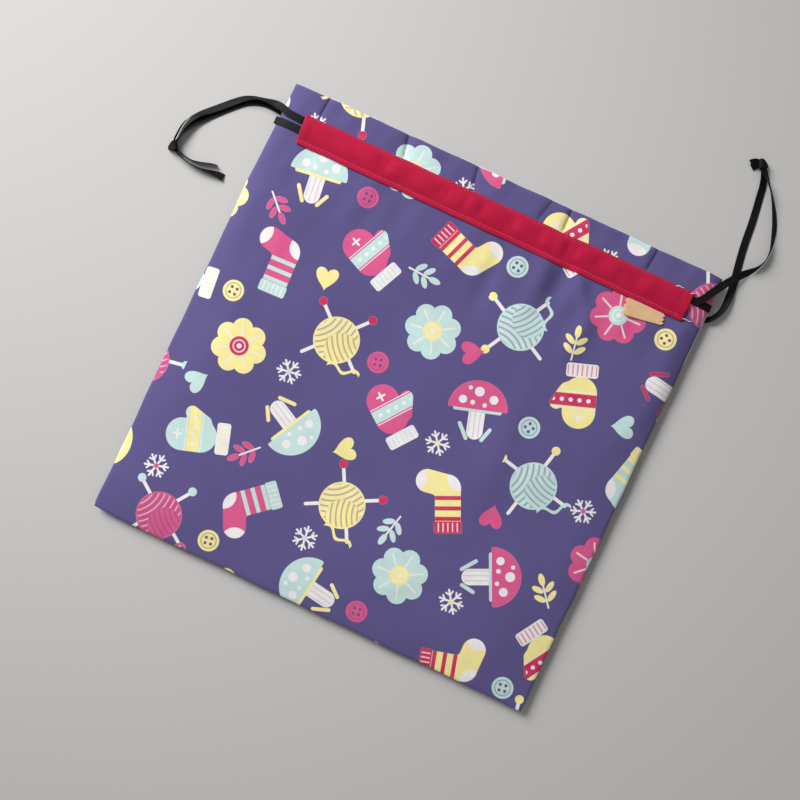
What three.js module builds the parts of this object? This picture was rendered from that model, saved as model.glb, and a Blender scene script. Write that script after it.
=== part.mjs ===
// Drawstring project bag lying flat on its back, in millimetres, +Z up.
// X runs across the bag, +Y towards the mouth, +Z from the table up through the back and the front wall.
// Each wall is a cloth panel with a lining behind it and a casing sewn across it below the mouth.
// Two ribbons run through both casings. One turns round the right edge and is knotted off the left side,
// the other turns round the left edge and is knotted off the right side, so pulling both closes the mouth.
import * as THREE from "three";

// Bag
const BAG_WIDTH = 381;
const BAG_HEIGHT = 381;
const CLOTH = 0.6;
const LINING = 0.4;
const CLEARANCE = 0.3; // between neighbouring layers
const MOUTH_ROOM = 5; // between the two linings at the mouth
const SIDE_FALL = 45; // how far in from a side seam the walls reach their full height
const BOTTOM_FALL = 45; // the same from the bottom seam
const MOUTH_FALL = 14; // the same from a side seam, beside the casings
const WAIST_START = 110; // below the mouth, where the side fall has narrowed to the mouth fall
const WAIST_LENGTH = 90; // length over which it narrows

// Seam allowances inside the bag
const SEAM_WIDTH = 6;
const SEAM_THICKNESS = 0.5;
const SEAM_INSET = 3.5;

// Casings
const CASING_HEIGHT = 25;
const CASING_DROP = 20.5; // from the mouth edge
const CASING_LEFT_INSET = 21.6; // from the left edge to the casing's end
const CASING_RIGHT_INSET = 16.5;
const CASING_CLOTH = 0.6;
const CASING_LOWER_HEM = 3.6; // height of the turned-under edge
const CASING_UPPER_HEM = 1.6;
const BACK_RAMP = 25; // the back wall climbs over its casing in this length

// Ribbons
const RIBBON_WIDTH = 6;
const RIBBON = 0.4; // thickness
const UPPER_LANE = 5.8; // a lane's centre line, from the casing's upper edge
const LOWER_LANE = 13.7;
const LANE_CHANGE_START = 40; // where the right-hand ribbon leaves the lower lane, from the middle
const LANE_CHANGE_END = 140;

// Knots
const KNOT_LENGTH = 10;
const KNOT_RADIUS = 4.4;
const KNOT_WAIST_RADIUS = 3.9; // between its two wound turns
const KNOT_END_RADIUS = 2.9;
const KNOT_END_ROUND = 0.7; // how far its rounded ends stand out
const KNOT_PITCH = 4; // from one wound turn to the next
const KNOT_FLATTEN = 0.85;

// Label
const LABEL_LENGTH = 34;
const LABEL_HEIGHT = 10.5;
const LABEL_THICKNESS = 0.8;
const LABEL_INSET = 29; // from the right side edge
const LABEL_TEETH = 3;
const LABEL_TOOTH = 2;

// Steps of the curved stretches
const SEAM_STEPS = 4;
const STRETCH_STEPS = 5;
const LANE_STEPS = 8;
const WRAP_STEPS = 6;
const STRAND_STEPS = 2;
const KNOT_STEPS = 12;
const KNOT_SIDES = 14;

// Worked out from the sizes above
const halfWidth = BAG_WIDTH / 2;
const mouth = BAG_HEIGHT / 2;
const bottom = -mouth;
const wall = CLOTH + CLEARANCE + LINING;
const channel = 2 * RIBBON + 3 * CLEARANCE;
const casingDepth = channel + CASING_CLOTH;
const frontLevel = casingDepth + 2 * wall + MOUTH_ROOM;
const seamLevel = (casingDepth + frontLevel) / 2;
const casingTop = mouth - CASING_DROP;
const casingBottom = casingTop - CASING_HEIGHT;
const casingLeft = CASING_LEFT_INSET - halfWidth;
const casingRight = halfWidth - CASING_RIGHT_INSET;
const casingEnd = (side) => (side < 0 ? casingLeft : casingRight);
const upperLane = casingTop - UPPER_LANE;
const lowerLane = casingTop - LOWER_LANE;
const liningInset = SEAM_INSET + SEAM_WIDTH + CLEARANCE;
const nearLayer = CLEARANCE;
const farLayer = nearLayer + RIBBON + CLEARANCE;

const clothMaterial = new THREE.MeshStandardMaterial({ color: 0x5d5386, roughness: 0.85 });
const liningMaterial = new THREE.MeshStandardMaterial({ color: 0xd9d4de, roughness: 0.9 });
const casingMaterial = new THREE.MeshStandardMaterial({ color: 0xb91e45, roughness: 0.8 });
const ribbonMaterial = new THREE.MeshStandardMaterial({ color: 0x191716, roughness: 0.55 });
const labelMaterial = new THREE.MeshStandardMaterial({ color: 0xcda678, roughness: 0.8 });

const bag = new THREE.Group();

function addPiece(name, geometry, material) {
  const mesh = new THREE.Mesh(geometry, material);
  mesh.name = name;
  bag.add(mesh);
  return mesh;
}

// A closed sheet: a grid of upper points and a grid of lower points, joined along their four edges.
function sheetGeometry(columns, rows, upper, lower) {
  const positions = [];
  for (const side of [upper, lower]) {
    for (let row = 0; row <= rows; row += 1) {
      for (let column = 0; column <= columns; column += 1) {
        positions.push(...side(column, row));
      }
    }
  }
  const lowerStart = (columns + 1) * (rows + 1);
  const top = (column, row) => row * (columns + 1) + column;
  const under = (column, row) => lowerStart + top(column, row);
  const faces = [];
  const quad = (a, b, c, d) => faces.push(a, b, c, a, c, d);
  for (let row = 0; row < rows; row += 1) {
    for (let column = 0; column < columns; column += 1) {
      const [right, ahead] = [column + 1, row + 1];
      faces.push(top(column, row), top(right, row), top(right, ahead));
      faces.push(top(column, row), top(right, ahead), top(column, ahead));
      faces.push(under(column, row), under(right, ahead), under(right, row));
      faces.push(under(column, row), under(column, ahead), under(right, ahead));
    }
  }
  for (let column = 0; column < columns; column += 1) {
    const right = column + 1;
    quad(under(column, 0), under(right, 0), top(right, 0), top(column, 0));
    quad(under(right, rows), under(column, rows), top(column, rows), top(right, rows));
  }
  for (let row = 0; row < rows; row += 1) {
    const ahead = row + 1;
    quad(under(0, ahead), under(0, row), top(0, row), top(0, ahead));
    quad(under(columns, row), under(columns, ahead), top(columns, ahead), top(columns, row));
  }
  const geometry = new THREE.BufferGeometry();
  geometry.setAttribute("position", new THREE.Float32BufferAttribute(positions, 3));
  geometry.setIndex(faces);
  geometry.computeVertexNormals();
  return geometry;
}

function boxBetween(low, high) {
  const [a, b] = [new THREE.Vector3(...low), new THREE.Vector3(...high)];
  const size = b.clone().sub(a);
  const centre = a.add(b).multiplyScalar(0.5);
  return new THREE.BoxGeometry(size.x, size.y, size.z).translate(centre.x, centre.y, centre.z);
}

// Walls

const backLift = (y) => casingDepth * THREE.MathUtils.smoothstep(y, casingBottom - BACK_RAMP, casingBottom);

function sideFall(y) {
  const waist = mouth - WAIST_START;
  return THREE.MathUtils.lerp(
    SIDE_FALL,
    MOUTH_FALL,
    THREE.MathUtils.smoothstep(y, waist - WAIST_LENGTH, waist),
  );
}

// 0 along the seams and 1 where a wall has its full height, rising in a parabola from the nearest seam.
function fullness(x, y, inset) {
  const acrossRest = 1 - (halfWidth - inset - Math.abs(x)) / (sideFall(y) - inset);
  const upRest = 1 - (y - bottom - inset) / (BOTTOM_FALL - inset);
  const rest = Math.max(acrossRest, upRest, 0);
  return 1 - rest * rest;
}

// The height of a wall's outer face: it leaves the seam one layer away from the other wall's.
function frontHeight(x, y, inset, thickness, depth) {
  const rim = seamLevel + CLEARANCE / 2 + thickness;
  return THREE.MathUtils.lerp(rim, frontLevel - depth, fullness(x, y, inset));
}

function backHeight(x, y, inset, thickness, depth) {
  const rim = seamLevel - CLEARANCE / 2 - thickness;
  return THREE.MathUtils.lerp(rim, backLift(y) + depth, fullness(x, y, inset));
}

// Sampling lines by their distance from a seam, closer along the seam than further in.
function seamLines(inset, fall) {
  const lines = [];
  for (let step = 0; step < SEAM_STEPS; step += 1) {
    lines.push(THREE.MathUtils.lerp(inset, MOUTH_FALL, step / SEAM_STEPS));
  }
  for (let step = 0; step < SEAM_STEPS; step += 1) {
    lines.push(THREE.MathUtils.lerp(MOUTH_FALL, fall, step / SEAM_STEPS));
  }
  lines.push(fall);
  return lines;
}

function acrossLines(inset) {
  const distances = seamLines(inset, SIDE_FALL);
  const left = distances.map((distance) => distance - halfWidth);
  const right = distances.map((distance) => halfWidth - distance).reverse();
  return [...left, ...right];
}

// Up a wall the lines are closer over the bottom fall, the waist and the ramp onto the back casing.
function upLines(inset) {
  const lines = seamLines(inset, BOTTOM_FALL).map((distance) => bottom + distance);
  const waist = mouth - WAIST_START;
  const stretch = (from, to) => {
    for (let step = 0; step < STRETCH_STEPS; step += 1) {
      lines.push(THREE.MathUtils.lerp(from, to, step / STRETCH_STEPS));
    }
  };
  stretch(waist - WAIST_LENGTH, waist);
  lines.push(waist);
  stretch(casingBottom - BACK_RAMP, casingBottom);
  lines.push(casingBottom, mouth);
  return lines;
}

function wallGeometry(height, inset, thickness, depth, outward) {
  const [xs, ys] = [acrossLines(inset), upLines(inset)];
  const face = (offset) => (column, row) => {
    const [x, y] = [xs[column], ys[row]];
    return [x, y, height(x, y, inset, thickness, depth) + offset];
  };
  const upper = outward > 0 ? face(0) : face(thickness);
  const lower = outward > 0 ? face(-thickness) : face(0);
  return sheetGeometry(xs.length - 1, ys.length - 1, upper, lower);
}

function addWalls() {
  const behind = CLOTH + CLEARANCE;
  addPiece("front_panel", wallGeometry(frontHeight, 0, CLOTH, 0, 1), clothMaterial);
  addPiece("back_panel", wallGeometry(backHeight, 0, CLOTH, 0, -1), clothMaterial);
  addPiece("front_lining", wallGeometry(frontHeight, liningInset, LINING, behind, 1), liningMaterial);
  addPiece("back_lining", wallGeometry(backHeight, liningInset, LINING, behind, -1), liningMaterial);
}

// Seam allowances: flat strips pressed open along the inside of the side and bottom seams.
function addSeams() {
  const outer = halfWidth - SEAM_INSET;
  const inner = outer - SEAM_WIDTH;
  const low = seamLevel - SEAM_THICKNESS / 2;
  const high = seamLevel + SEAM_THICKNESS / 2;
  const start = bottom + SEAM_INSET;
  const end = start + SEAM_WIDTH;
  const sideStart = end + CLEARANCE;
  addPiece("left_side_seam", boxBetween([-outer, sideStart, low], [-inner, mouth, high]), clothMaterial);
  addPiece("right_side_seam", boxBetween([inner, sideStart, low], [outer, mouth, high]), clothMaterial);
  addPiece("bottom_seam", boxBetween([-outer, start, low], [outer, end, high]), clothMaterial);
}

// Casings: a strip across a wall, over two turned-under hems that leave the ribbons' channel between them.
// outward is 1 where a casing stands up from the front panel and -1 where it stands down from the back one.
function addCasing(name, level, outward) {
  const strip = (piece, low, high, near, far) => {
    const heights = [level + outward * near, level + outward * far];
    const lowest = [casingLeft, low, Math.min(...heights)];
    const highest = [casingRight, high, Math.max(...heights)];
    addPiece(piece, boxBetween(lowest, highest), casingMaterial);
  };
  const hemTop = channel - CLEARANCE;
  strip(name, casingBottom, casingTop, channel, casingDepth);
  strip(`${name}_lower_hem`, casingBottom, casingBottom + CASING_LOWER_HEM, CLEARANCE, hemTop);
  strip(`${name}_upper_hem`, casingTop - CASING_UPPER_HEM, casingTop, CLEARANCE, hemTop);
}

// Label: a tab with pinked ends, lying on the front panel against the casing's lower hem.
function addLabel() {
  const right = halfWidth - LABEL_INSET;
  const left = right - LABEL_LENGTH;
  const top = casingBottom - CLEARANCE;
  const pitch = LABEL_HEIGHT / (2 * LABEL_TEETH);
  const shape = new THREE.Shape();
  shape.moveTo(left, top);
  for (let tooth = 1; tooth <= 2 * LABEL_TEETH; tooth += 1) {
    shape.lineTo(left + (tooth % 2) * LABEL_TOOTH, top - tooth * pitch);
  }
  for (let tooth = 0; tooth <= 2 * LABEL_TEETH; tooth += 1) {
    shape.lineTo(right - (tooth % 2) * LABEL_TOOTH, top - LABEL_HEIGHT + tooth * pitch);
  }
  shape.closePath();
  const geometry = new THREE.ExtrudeGeometry(shape, { depth: LABEL_THICKNESS, bevelEnabled: false });
  addPiece("label", geometry, labelMaterial).position.z = frontLevel + CLEARANCE;
}

// Ribbons

// A flat band along points, each with the direction of the band's width: its face lies square to both.
function bandGeometry(points, widths) {
  const last = points.length - 1;
  const corners = points.map((point, index) => {
    const ahead = points[Math.min(index + 1, last)];
    const along = ahead.clone().sub(points[Math.max(index - 1, 0)]).normalize();
    const across = widths[index].clone().addScaledVector(along, -widths[index].dot(along)).normalize();
    const up = new THREE.Vector3().crossVectors(across, along);
    return { point, across: across.multiplyScalar(RIBBON_WIDTH / 2), up: up.multiplyScalar(RIBBON / 2) };
  });
  const face = (side) => (column, row) => {
    const { point, across, up } = corners[row];
    const place = point.clone().addScaledVector(across, 2 * column - 1).addScaledVector(up, side);
    return place.toArray();
  };
  return sheetGeometry(1, last, face(1), face(-1));
}

// A free stretch: stops are [x, y, z, roll], where roll turns the band from flat (0) to on edge (90 degrees).
function strandGeometry(stops) {
  const curve = new THREE.CatmullRomCurve3(stops.map(([x, y, z]) => new THREE.Vector3(x, y, z)));
  const steps = (stops.length - 1) * STRAND_STEPS;
  const points = curve.getPoints(steps);
  const widths = points.map((point, index) => {
    const place = index / STRAND_STEPS;
    const stop = Math.min(Math.floor(place), stops.length - 2);
    const roll = THREE.MathUtils.lerp(stops[stop][3], stops[stop + 1][3], place - stop);
    const along = curve.getTangent(index / steps).setZ(0).normalize();
    const level = new THREE.Vector3(along.y, -along.x, 0);
    const turn = THREE.MathUtils.degToRad(roll);
    return level.multiplyScalar(Math.cos(turn)).add(new THREE.Vector3(0, 0, Math.sin(turn)));
  });
  return bandGeometry(points, widths);
}

// A stretch inside a casing: [x, y] points at one height.
function runGeometry(places, height) {
  const points = places.map(([x, y]) => new THREE.Vector3(x, y, height));
  const widths = points.map(() => new THREE.Vector3(0, -1, 0));
  return bandGeometry(points, widths);
}

// The turn round a side edge: along the front wall, round the seam and back along the back wall.
function wrapGeometry(side, lane, frontLayer) {
  const section = [];
  const start = Math.abs(casingEnd(side)) + CLEARANCE;
  for (let step = 0; step < WRAP_STEPS; step += 1) {
    const share = step / WRAP_STEPS;
    const x = THREE.MathUtils.lerp(start, halfWidth, share);
    const layer = THREE.MathUtils.lerp(frontLayer, nearLayer, share) + RIBBON / 2;
    section.push([x, frontHeight(x, lane, 0, CLOTH, 0) + layer]);
  }
  const turn = CLEARANCE / 2 + CLOTH + nearLayer + RIBBON / 2;
  for (let step = 0; step <= WRAP_STEPS; step += 1) {
    const angle = Math.PI * (0.5 - step / WRAP_STEPS);
    section.push([halfWidth + turn * Math.cos(angle), seamLevel + turn * Math.sin(angle)]);
  }
  for (let step = WRAP_STEPS - 1; step >= 0; step -= 1) {
    const x = THREE.MathUtils.lerp(start, halfWidth, step / WRAP_STEPS);
    section.push([x, backHeight(x, lane, 0, CLOTH, 0) - nearLayer - RIBBON / 2]);
  }
  const points = section.map(([x, z]) => new THREE.Vector3(side * x, lane, z));
  const widths = points.map(() => new THREE.Vector3(0, -side, 0));
  return bandGeometry(points, widths);
}

// Knots: a lump of two wound turns, drawn in between them and at both ends.
function knotGeometry() {
  const end = KNOT_LENGTH / 2;
  const profile = new THREE.SplineCurve([
    new THREE.Vector2(0, -end),
    new THREE.Vector2(KNOT_END_RADIUS, KNOT_END_ROUND - end),
    new THREE.Vector2(KNOT_RADIUS, -KNOT_PITCH / 2),
    new THREE.Vector2(KNOT_WAIST_RADIUS, 0),
    new THREE.Vector2(KNOT_RADIUS, KNOT_PITCH / 2),
    new THREE.Vector2(KNOT_END_RADIUS, end - KNOT_END_ROUND),
    new THREE.Vector2(0, end),
  ]).getPoints(KNOT_STEPS);
  profile[0].x = 0;
  profile.at(-1).x = 0;
  return new THREE.LatheGeometry(profile, KNOT_SIDES);
}

function addKnot(name, centre, turn) {
  const knot = addPiece(name, knotGeometry().rotateZ(turn), ribbonMaterial);
  knot.scale.z = KNOT_FLATTEN;
  knot.position.set(...centre);
}

// Where a ribbon leaves a casing, and how its free stretch goes on from there to the knot.
// Routes are [x, y, z, roll], with x and y from the bag's upper corner on that side.
const leftFrontRoute = [
  [8, -25.4, 9.9, 0], [2, -23.6, 8.9, 0], [-4, -22.5, 7.2, -4], [-9.5, -22.1, 5.4, -10],
  [-15, -22.3, 3.9, -22], [-21, -23.2, 3.1, -32], [-27, -25.2, 2.6, -28], [-33, -28.8, 2.1, -18],
  [-39.5, -34.8, 1.9, -14], [-46.5, -41.8, 1.9, -14], [-53.5, -48.6, 2, -18], [-60, -54.8, 2.6, -36],
  [-65, -60, 3.2, -60], [-68.2, -65.6, 3.5, -76], [-69.5, -71.6, 3.6, -82], [-69.8, -77.6, 3.7, -84],
  [-69.7, -83.3, 3.8, -86],
];
const leftBackRoute = [
  [8, -25.9, 1.6, 0], [1, -25.2, 1.2, 0], [-5.5, -24.4, 0.8, 0], [-11.5, -24.2, 0.55, 0],
  [-17.5, -24.9, 0.5, 0], [-23.5, -26.7, 0.5, 0], [-29.5, -30, 0.5, 0], [-36, -35.6, 0.5, 0],
  [-42.5, -42.2, 0.5, 0], [-49, -49.2, 0.5, -2], [-55, -56, 0.7, -6], [-60.6, -62.8, 1.2, -18],
  [-64.2, -69.6, 2, -36], [-66.2, -75.8, 2.9, -60], [-67.2, -80.3, 3.5, -76], [-67.6, -83.3, 3.8, -86],
];
const rightFrontRoute = [
  [-12.4, -26, 11, 0], [-8.2, -22, 10.8, 0], [-4.6, -15.6, 10.3, 0], [-0.8, -9.2, 9.2, 0],
  [3.5, -2.3, 7.2, 0], [8, 4, 5, -4], [12.6, 9.8, 3.5, -16], [17.2, 14.8, 2.9, -40],
  [21.6, 20.4, 3.2, -66], [24.6, 27.6, 3.3, -76], [25.2, 36, 3.2, -66], [23.4, 46, 2.7, -46],
  [20.4, 55.6, 2.4, -36], [15.9, 65.2, 2.5, -40], [10.6, 74, 2.9, -52], [5.4, 81.4, 3.2, -60],
  [0.6, 87, 3.5, -56], [-3, 90.4, 4, -40], [-6.65, 93.85, 4.5, -26],
];
const rightBackRoute = [
  [-10, -34.4, 1.7, 0], [-4.5, -35, 1.4, 0], [0.4, -35, 1, 0], [4.6, -33, 0.7, 0],
  [8, -28.8, 0.5, 0], [10.4, -23, 0.5, 0], [11.5, -16, 0.5, 0], [11.4, -8.4, 0.5, 0],
  [10.4, 0, 0.5, 0], [8.9, 9, 0.5, 0], [7.2, 18.6, 0.5, 0], [5.5, 29, 0.5, 0],
  [4.2, 40, 0.5, 0], [3.2, 51, 0.5, 0], [1.7, 62, 0.6, -4], [-0.2, 73, 0.9, -8],
  [-1.8, 81.6, 1.6, -16], [-3.6, 87.2, 2.4, -22], [-5.2, 91, 2.9, -24], [-6.65, 93.85, 3.2, -26],
];
const leftTailRoutes = [
  [
    [-63.9, -89.4, 3.6, 86], [-60.5, -90.6, 3.4, 84], [-56.5, -91.6, 3.2, 82], [-52, -92.2, 3.2, 82],
    [-47.5, -92, 3.2, 82], [-43.2, -91.1, 3.2, 82], [-39.4, -89.9, 3.2, 80], [-35.8, -88.7, 3.1, 78],
    [-32.6, -88, 3.1, 76], [-29.6, -87.8, 3.1, 74],
  ],
  [
    [-63.9, -91.5, 3.6, 86], [-60.5, -93.2, 3.4, 84], [-56.5, -94.5, 3.2, 82], [-51.5, -95.4, 3.2, 80],
    [-46, -95.8, 3.1, 76], [-40.8, -95.8, 3, 70], [-35.8, -95.3, 2.7, 60], [-31, -94.6, 2.3, 46],
    [-26, -94.1, 1.8, 30], [-20.6, -94.2, 1.2, 16],
  ],
];
const rightTailRoutes = [
  [[-16.1, 97.9, 4.3, 36], [-17.1, 97.9, 3.9, 30], [-18.1, 97.7, 3.5, 24], [-19.1, 97.4, 3, 18]],
  [[-13.8, 94.2, 3.2, 80], [-14.8, 93.1, 3.1, 76], [-15.6, 91.8, 3, 72], [-16.2, 90.4, 2.95, 70]],
];
const leftKnotPlace = [-68.7, -88.6];
const rightKnotPlace = [-10.4, 97.6];
const rightKnotTurn = Math.PI / 4;

const fromCorner = (side, [x, y, ...rest]) => [side * halfWidth + x, mouth + y, ...rest];

function addStrand(name, side, exit, route) {
  const stops = [exit, ...route.map((stop) => fromCorner(side, stop))];
  addPiece(name, strandGeometry(stops), ribbonMaterial);
}

function addDrawstring(side, name, frontRun, lanes, routes, knotPlace, knotTurn) {
  const frontMiddle = frontLevel + lanes.frontLayer + RIBBON / 2;
  const backMiddle = casingDepth - nearLayer - RIBBON / 2;
  const exitX = casingEnd(side) + side * CLEARANCE;
  const frontExit = [exitX, lanes.frontExit, frontMiddle, 0];
  const backExit = [exitX, lanes.back, backMiddle, 0];
  const backRun = [[casingLeft, lanes.back], [casingRight, lanes.back]];
  addPiece(`${name}_front_run`, runGeometry(frontRun, frontMiddle), ribbonMaterial);
  addPiece(`${name}_back_run`, runGeometry(backRun, backMiddle), ribbonMaterial);
  addPiece(`${name}_wrap`, wrapGeometry(-side, lanes.back, lanes.frontLayer), ribbonMaterial);
  addStrand(`${name}_front_strand`, side, frontExit, routes.front);
  addStrand(`${name}_back_strand`, side, backExit, routes.back);
  const knotCentre = [...fromCorner(side, knotPlace), KNOT_RADIUS * KNOT_FLATTEN + CLEARANCE / 2];
  addKnot(`${name}_knot`, knotCentre, knotTurn);
  routes.tails.forEach((tail, index) => {
    const [first, ...rest] = tail;
    addStrand(`${name}_tail_${index + 1}`, side, fromCorner(side, first), rest);
  });
}

// The right-hand ribbon changes lanes over the left-hand one in an S before it leaves the front casing.
function laneChange() {
  const places = [[casingLeft, lowerLane]];
  for (let step = 0; step <= LANE_STEPS; step += 1) {
    const share = step / LANE_STEPS;
    const x = THREE.MathUtils.lerp(LANE_CHANGE_START, LANE_CHANGE_END, share);
    places.push([x, THREE.MathUtils.lerp(lowerLane, upperLane, THREE.MathUtils.smoothstep(share, 0, 1))]);
  }
  places.push([casingRight, upperLane]);
  return places;
}

addWalls();
addSeams();
addCasing("front_casing", frontLevel, 1);
addCasing("back_casing", casingDepth, -1);
addLabel();
addDrawstring(
  -1,
  "left_ribbon",
  [[casingLeft, upperLane], [casingRight, upperLane]],
  { frontExit: upperLane, back: upperLane, frontLayer: nearLayer },
  { front: leftFrontRoute, back: leftBackRoute, tails: leftTailRoutes },
  leftKnotPlace,
  0,
);
addDrawstring(
  1,
  "right_ribbon",
  laneChange(),
  { frontExit: upperLane, back: lowerLane, frontLayer: farLayer },
  { front: rightFrontRoute, back: rightBackRoute, tails: rightTailRoutes },
  rightKnotPlace,
  rightKnotTurn,
);

export default bag;
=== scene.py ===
"""Dress a flat drawstring project bag.

It has printed walls with a pale lining, red casings, black ribbons and a bare tan tab. Lengths are metres in
the part's own frame: the bag lies on its back, with X across it, Y towards its mouth and Z up. Each piece is
one surface worked out on a grid, or several of them joined.
"""

import math
from types import SimpleNamespace

import bpy
import numpy as np
from bpy.props import FloatProperty, FloatVectorProperty, PointerProperty
from mathutils import Matrix, Vector


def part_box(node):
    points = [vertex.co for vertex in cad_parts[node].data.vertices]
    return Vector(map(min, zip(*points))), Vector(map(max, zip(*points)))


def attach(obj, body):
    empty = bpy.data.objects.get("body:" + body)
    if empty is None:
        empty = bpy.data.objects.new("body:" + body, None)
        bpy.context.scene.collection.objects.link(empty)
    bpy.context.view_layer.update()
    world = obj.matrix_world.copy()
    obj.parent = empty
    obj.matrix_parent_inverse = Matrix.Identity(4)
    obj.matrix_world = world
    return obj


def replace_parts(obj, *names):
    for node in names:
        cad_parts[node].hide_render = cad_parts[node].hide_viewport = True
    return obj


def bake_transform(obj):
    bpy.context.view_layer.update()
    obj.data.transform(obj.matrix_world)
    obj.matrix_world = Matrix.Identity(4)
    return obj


bl_info = {
    "name": "Drawstring Project Bag",
    "version": (1, 0, 0),
    "blender": (4, 5, 0),
    "location": "View3D > Sidebar > Bag",
    "description": "Makes the cloth, ribbons, stitches and tab of a drawstring project bag",
    "category": "Add Mesh",
}

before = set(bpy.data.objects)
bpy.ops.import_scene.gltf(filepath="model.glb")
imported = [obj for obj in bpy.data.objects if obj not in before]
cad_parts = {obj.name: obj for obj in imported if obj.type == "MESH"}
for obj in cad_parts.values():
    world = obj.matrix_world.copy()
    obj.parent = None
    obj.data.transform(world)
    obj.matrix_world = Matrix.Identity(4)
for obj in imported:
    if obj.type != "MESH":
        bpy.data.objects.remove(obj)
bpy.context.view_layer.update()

MM = 0.001
CLOTH_MAP = "ClothMap"


def middle(node):
    """The middle of a node's box."""
    low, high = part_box(node)
    return (low + high) / 2


def extent(node):
    """A node's size along X, Y and Z."""
    low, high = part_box(node)
    return high - low


# The bag's own lines, read from the frame.
wall_low, wall_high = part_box("front_panel")
casing_low, casing_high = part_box("front_casing")
HALF_WIDTH = wall_high.x
MOUTH = wall_high.y
BOTTOM = wall_low.y
FRONT_LEVEL = wall_high.z
SEAM_LEVEL = (wall_low.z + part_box("back_panel")[1].z) / 2
CASING_ENDS = {"left": -casing_low.x, "right": casing_high.x}
CASING_BOTTOM = casing_low.y
CASING_TOP = casing_high.y
CASING_DEPTH = casing_high.z - FRONT_LEVEL
RIBBON_WIDTH = extent("left_ribbon_back_run").y
RIBBON_THICKNESS = extent("left_ribbon_back_run").z
UPPER_LANE = middle("left_ribbon_back_run").y
LOWER_LANE = middle("right_ribbon_back_run").y
NEAR_LAYER = middle("left_ribbon_front_run").z - FRONT_LEVEL
FAR_LAYER = middle("right_ribbon_front_run").z - FRONT_LEVEL
LINING_INSET = HALF_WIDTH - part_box("front_lining")[1].x

# How the walls climb from the seams: the width of the climb low down and at the mouth, and the heights up
# the bag between which it changes.
SIDE_FALL = 45 * MM
MOUTH_FALL = 14 * MM
WAIST_LOW = -9.5 * MM
WAIST_HIGH = 80.5 * MM

# The back wall's climb over its casing, the left edge's lean at the mouth, and the gap between sewn walls.
BACK_RAMP = 25 * MM
MOUTH_LEAN = 2.1 * MM
SEAM_PINCH = 0.04 * MM

# Thickness of the printed cloth and of the lining, and the lining's depth behind the printed face.
CLOTH = 0.6 * MM
LINING = 0.4 * MM
LINING_DEPTH = 0.9 * MM

# How far a ribbon's run goes past its casing's ends, and where the right ribbon's front run changes lane.
RUN_GAP = 0.3 * MM
LANE_CHANGE = (40 * MM, 140 * MM)


def linear(red, green, blue):
    """A colour given as 0 to 255 screen values, in the linear values that shaders use."""
    share = np.array((red, green, blue)) / 255
    return tuple(np.where(share <= 0.04045, share / 12.92, ((share + 0.055) / 1.055) ** 2.4))


def colour(name, description, red, green, blue):
    """A colour property with a screen colour as its default."""
    return FloatVectorProperty(
        name=name, description=description, subtype="COLOR", size=3, min=0, max=1,
        default=linear(red, green, blue),
    )


def length(name, description, millimetres):
    """A length property with its default in millimetres."""
    return FloatProperty(
        name=name, description=description, unit="LENGTH", precision=5, default=millimetres * MM
    )


def angle(name, description, degrees):
    """An angle property with its default in degrees."""
    return FloatProperty(
        name=name, description=description, subtype="ANGLE", default=math.radians(degrees)
    )


class BagClothSettings(bpy.types.PropertyGroup):
    """Colours and folds of the printed cloth and its lining."""

    ground: colour("Ground", "Colour between the printed motifs", 92, 83, 134)
    yellow: colour("Yellow", "First printed colour", 253, 243, 158)
    aqua: colour("Aqua", "Second printed colour", 196, 232, 226)
    pink: colour("Pink", "Third printed colour", 222, 82, 138)
    crimson: colour("Crimson", "Fourth printed colour", 205, 32, 86)
    white: colour("White", "Palest printed colour", 246, 244, 243)
    wash: colour("Wash", "Soft tone that clouds the printed inks", 205, 140, 165)
    reverse: colour("Reverse", "Unprinted back of the cloth", 205, 200, 214)
    lining: colour("Lining", "Plain inner cloth", 214, 209, 221)
    column: length("Column", "Distance between columns of motifs", 66)
    row: length("Row", "Distance between motifs in a column", 76)
    sag: length("Sag", "How far the front wall sinks in its middle", 2.4)
    slack: length("Slack", "Height of the broad waves in the front wall", 1.1)
    gathers: length("Gathers", "Height of the small waves beside the casing", 0.7)


class BagCasingSettings(bpy.types.PropertyGroup):
    """Colours and puckers of the casings and their topstitching."""

    cloth: colour("Casing", "Plain red cotton", 182, 13, 58)
    thread: colour("Thread", "Topstitching", 214, 72, 102)
    loose: colour("Loose thread", "Thread ends at the casing's right end", 240, 205, 212)
    pucker: length("Pucker", "Height of the waves along the casing", 1.5)
    stitch: length("Stitch", "Distance from stitch to stitch", 2.5)
    thread_width: length("Thread width", "Thickness of the topstitching", 0.55)


class BagRibbonSettings(bpy.types.PropertyGroup):
    """Colour and curl of the drawstring ribbon."""

    weave: colour("Ribbon", "Black woven ribbon", 20, 17, 17)
    curl: length("Curl", "How far the ribbon's edges stand from its middle", 0.12)


class BagLabelSettings(bpy.types.PropertyGroup):
    """Colour and hang of the bare tab."""

    tan: colour("Tab", "Bare tan tab", 224, 184, 139)
    lift: length("Lift", "How far the tab's free edge stands off the cloth", 0.5)
    skew: angle("Skew", "How far the tab hangs askew, its left end lower", 9.5)


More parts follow.
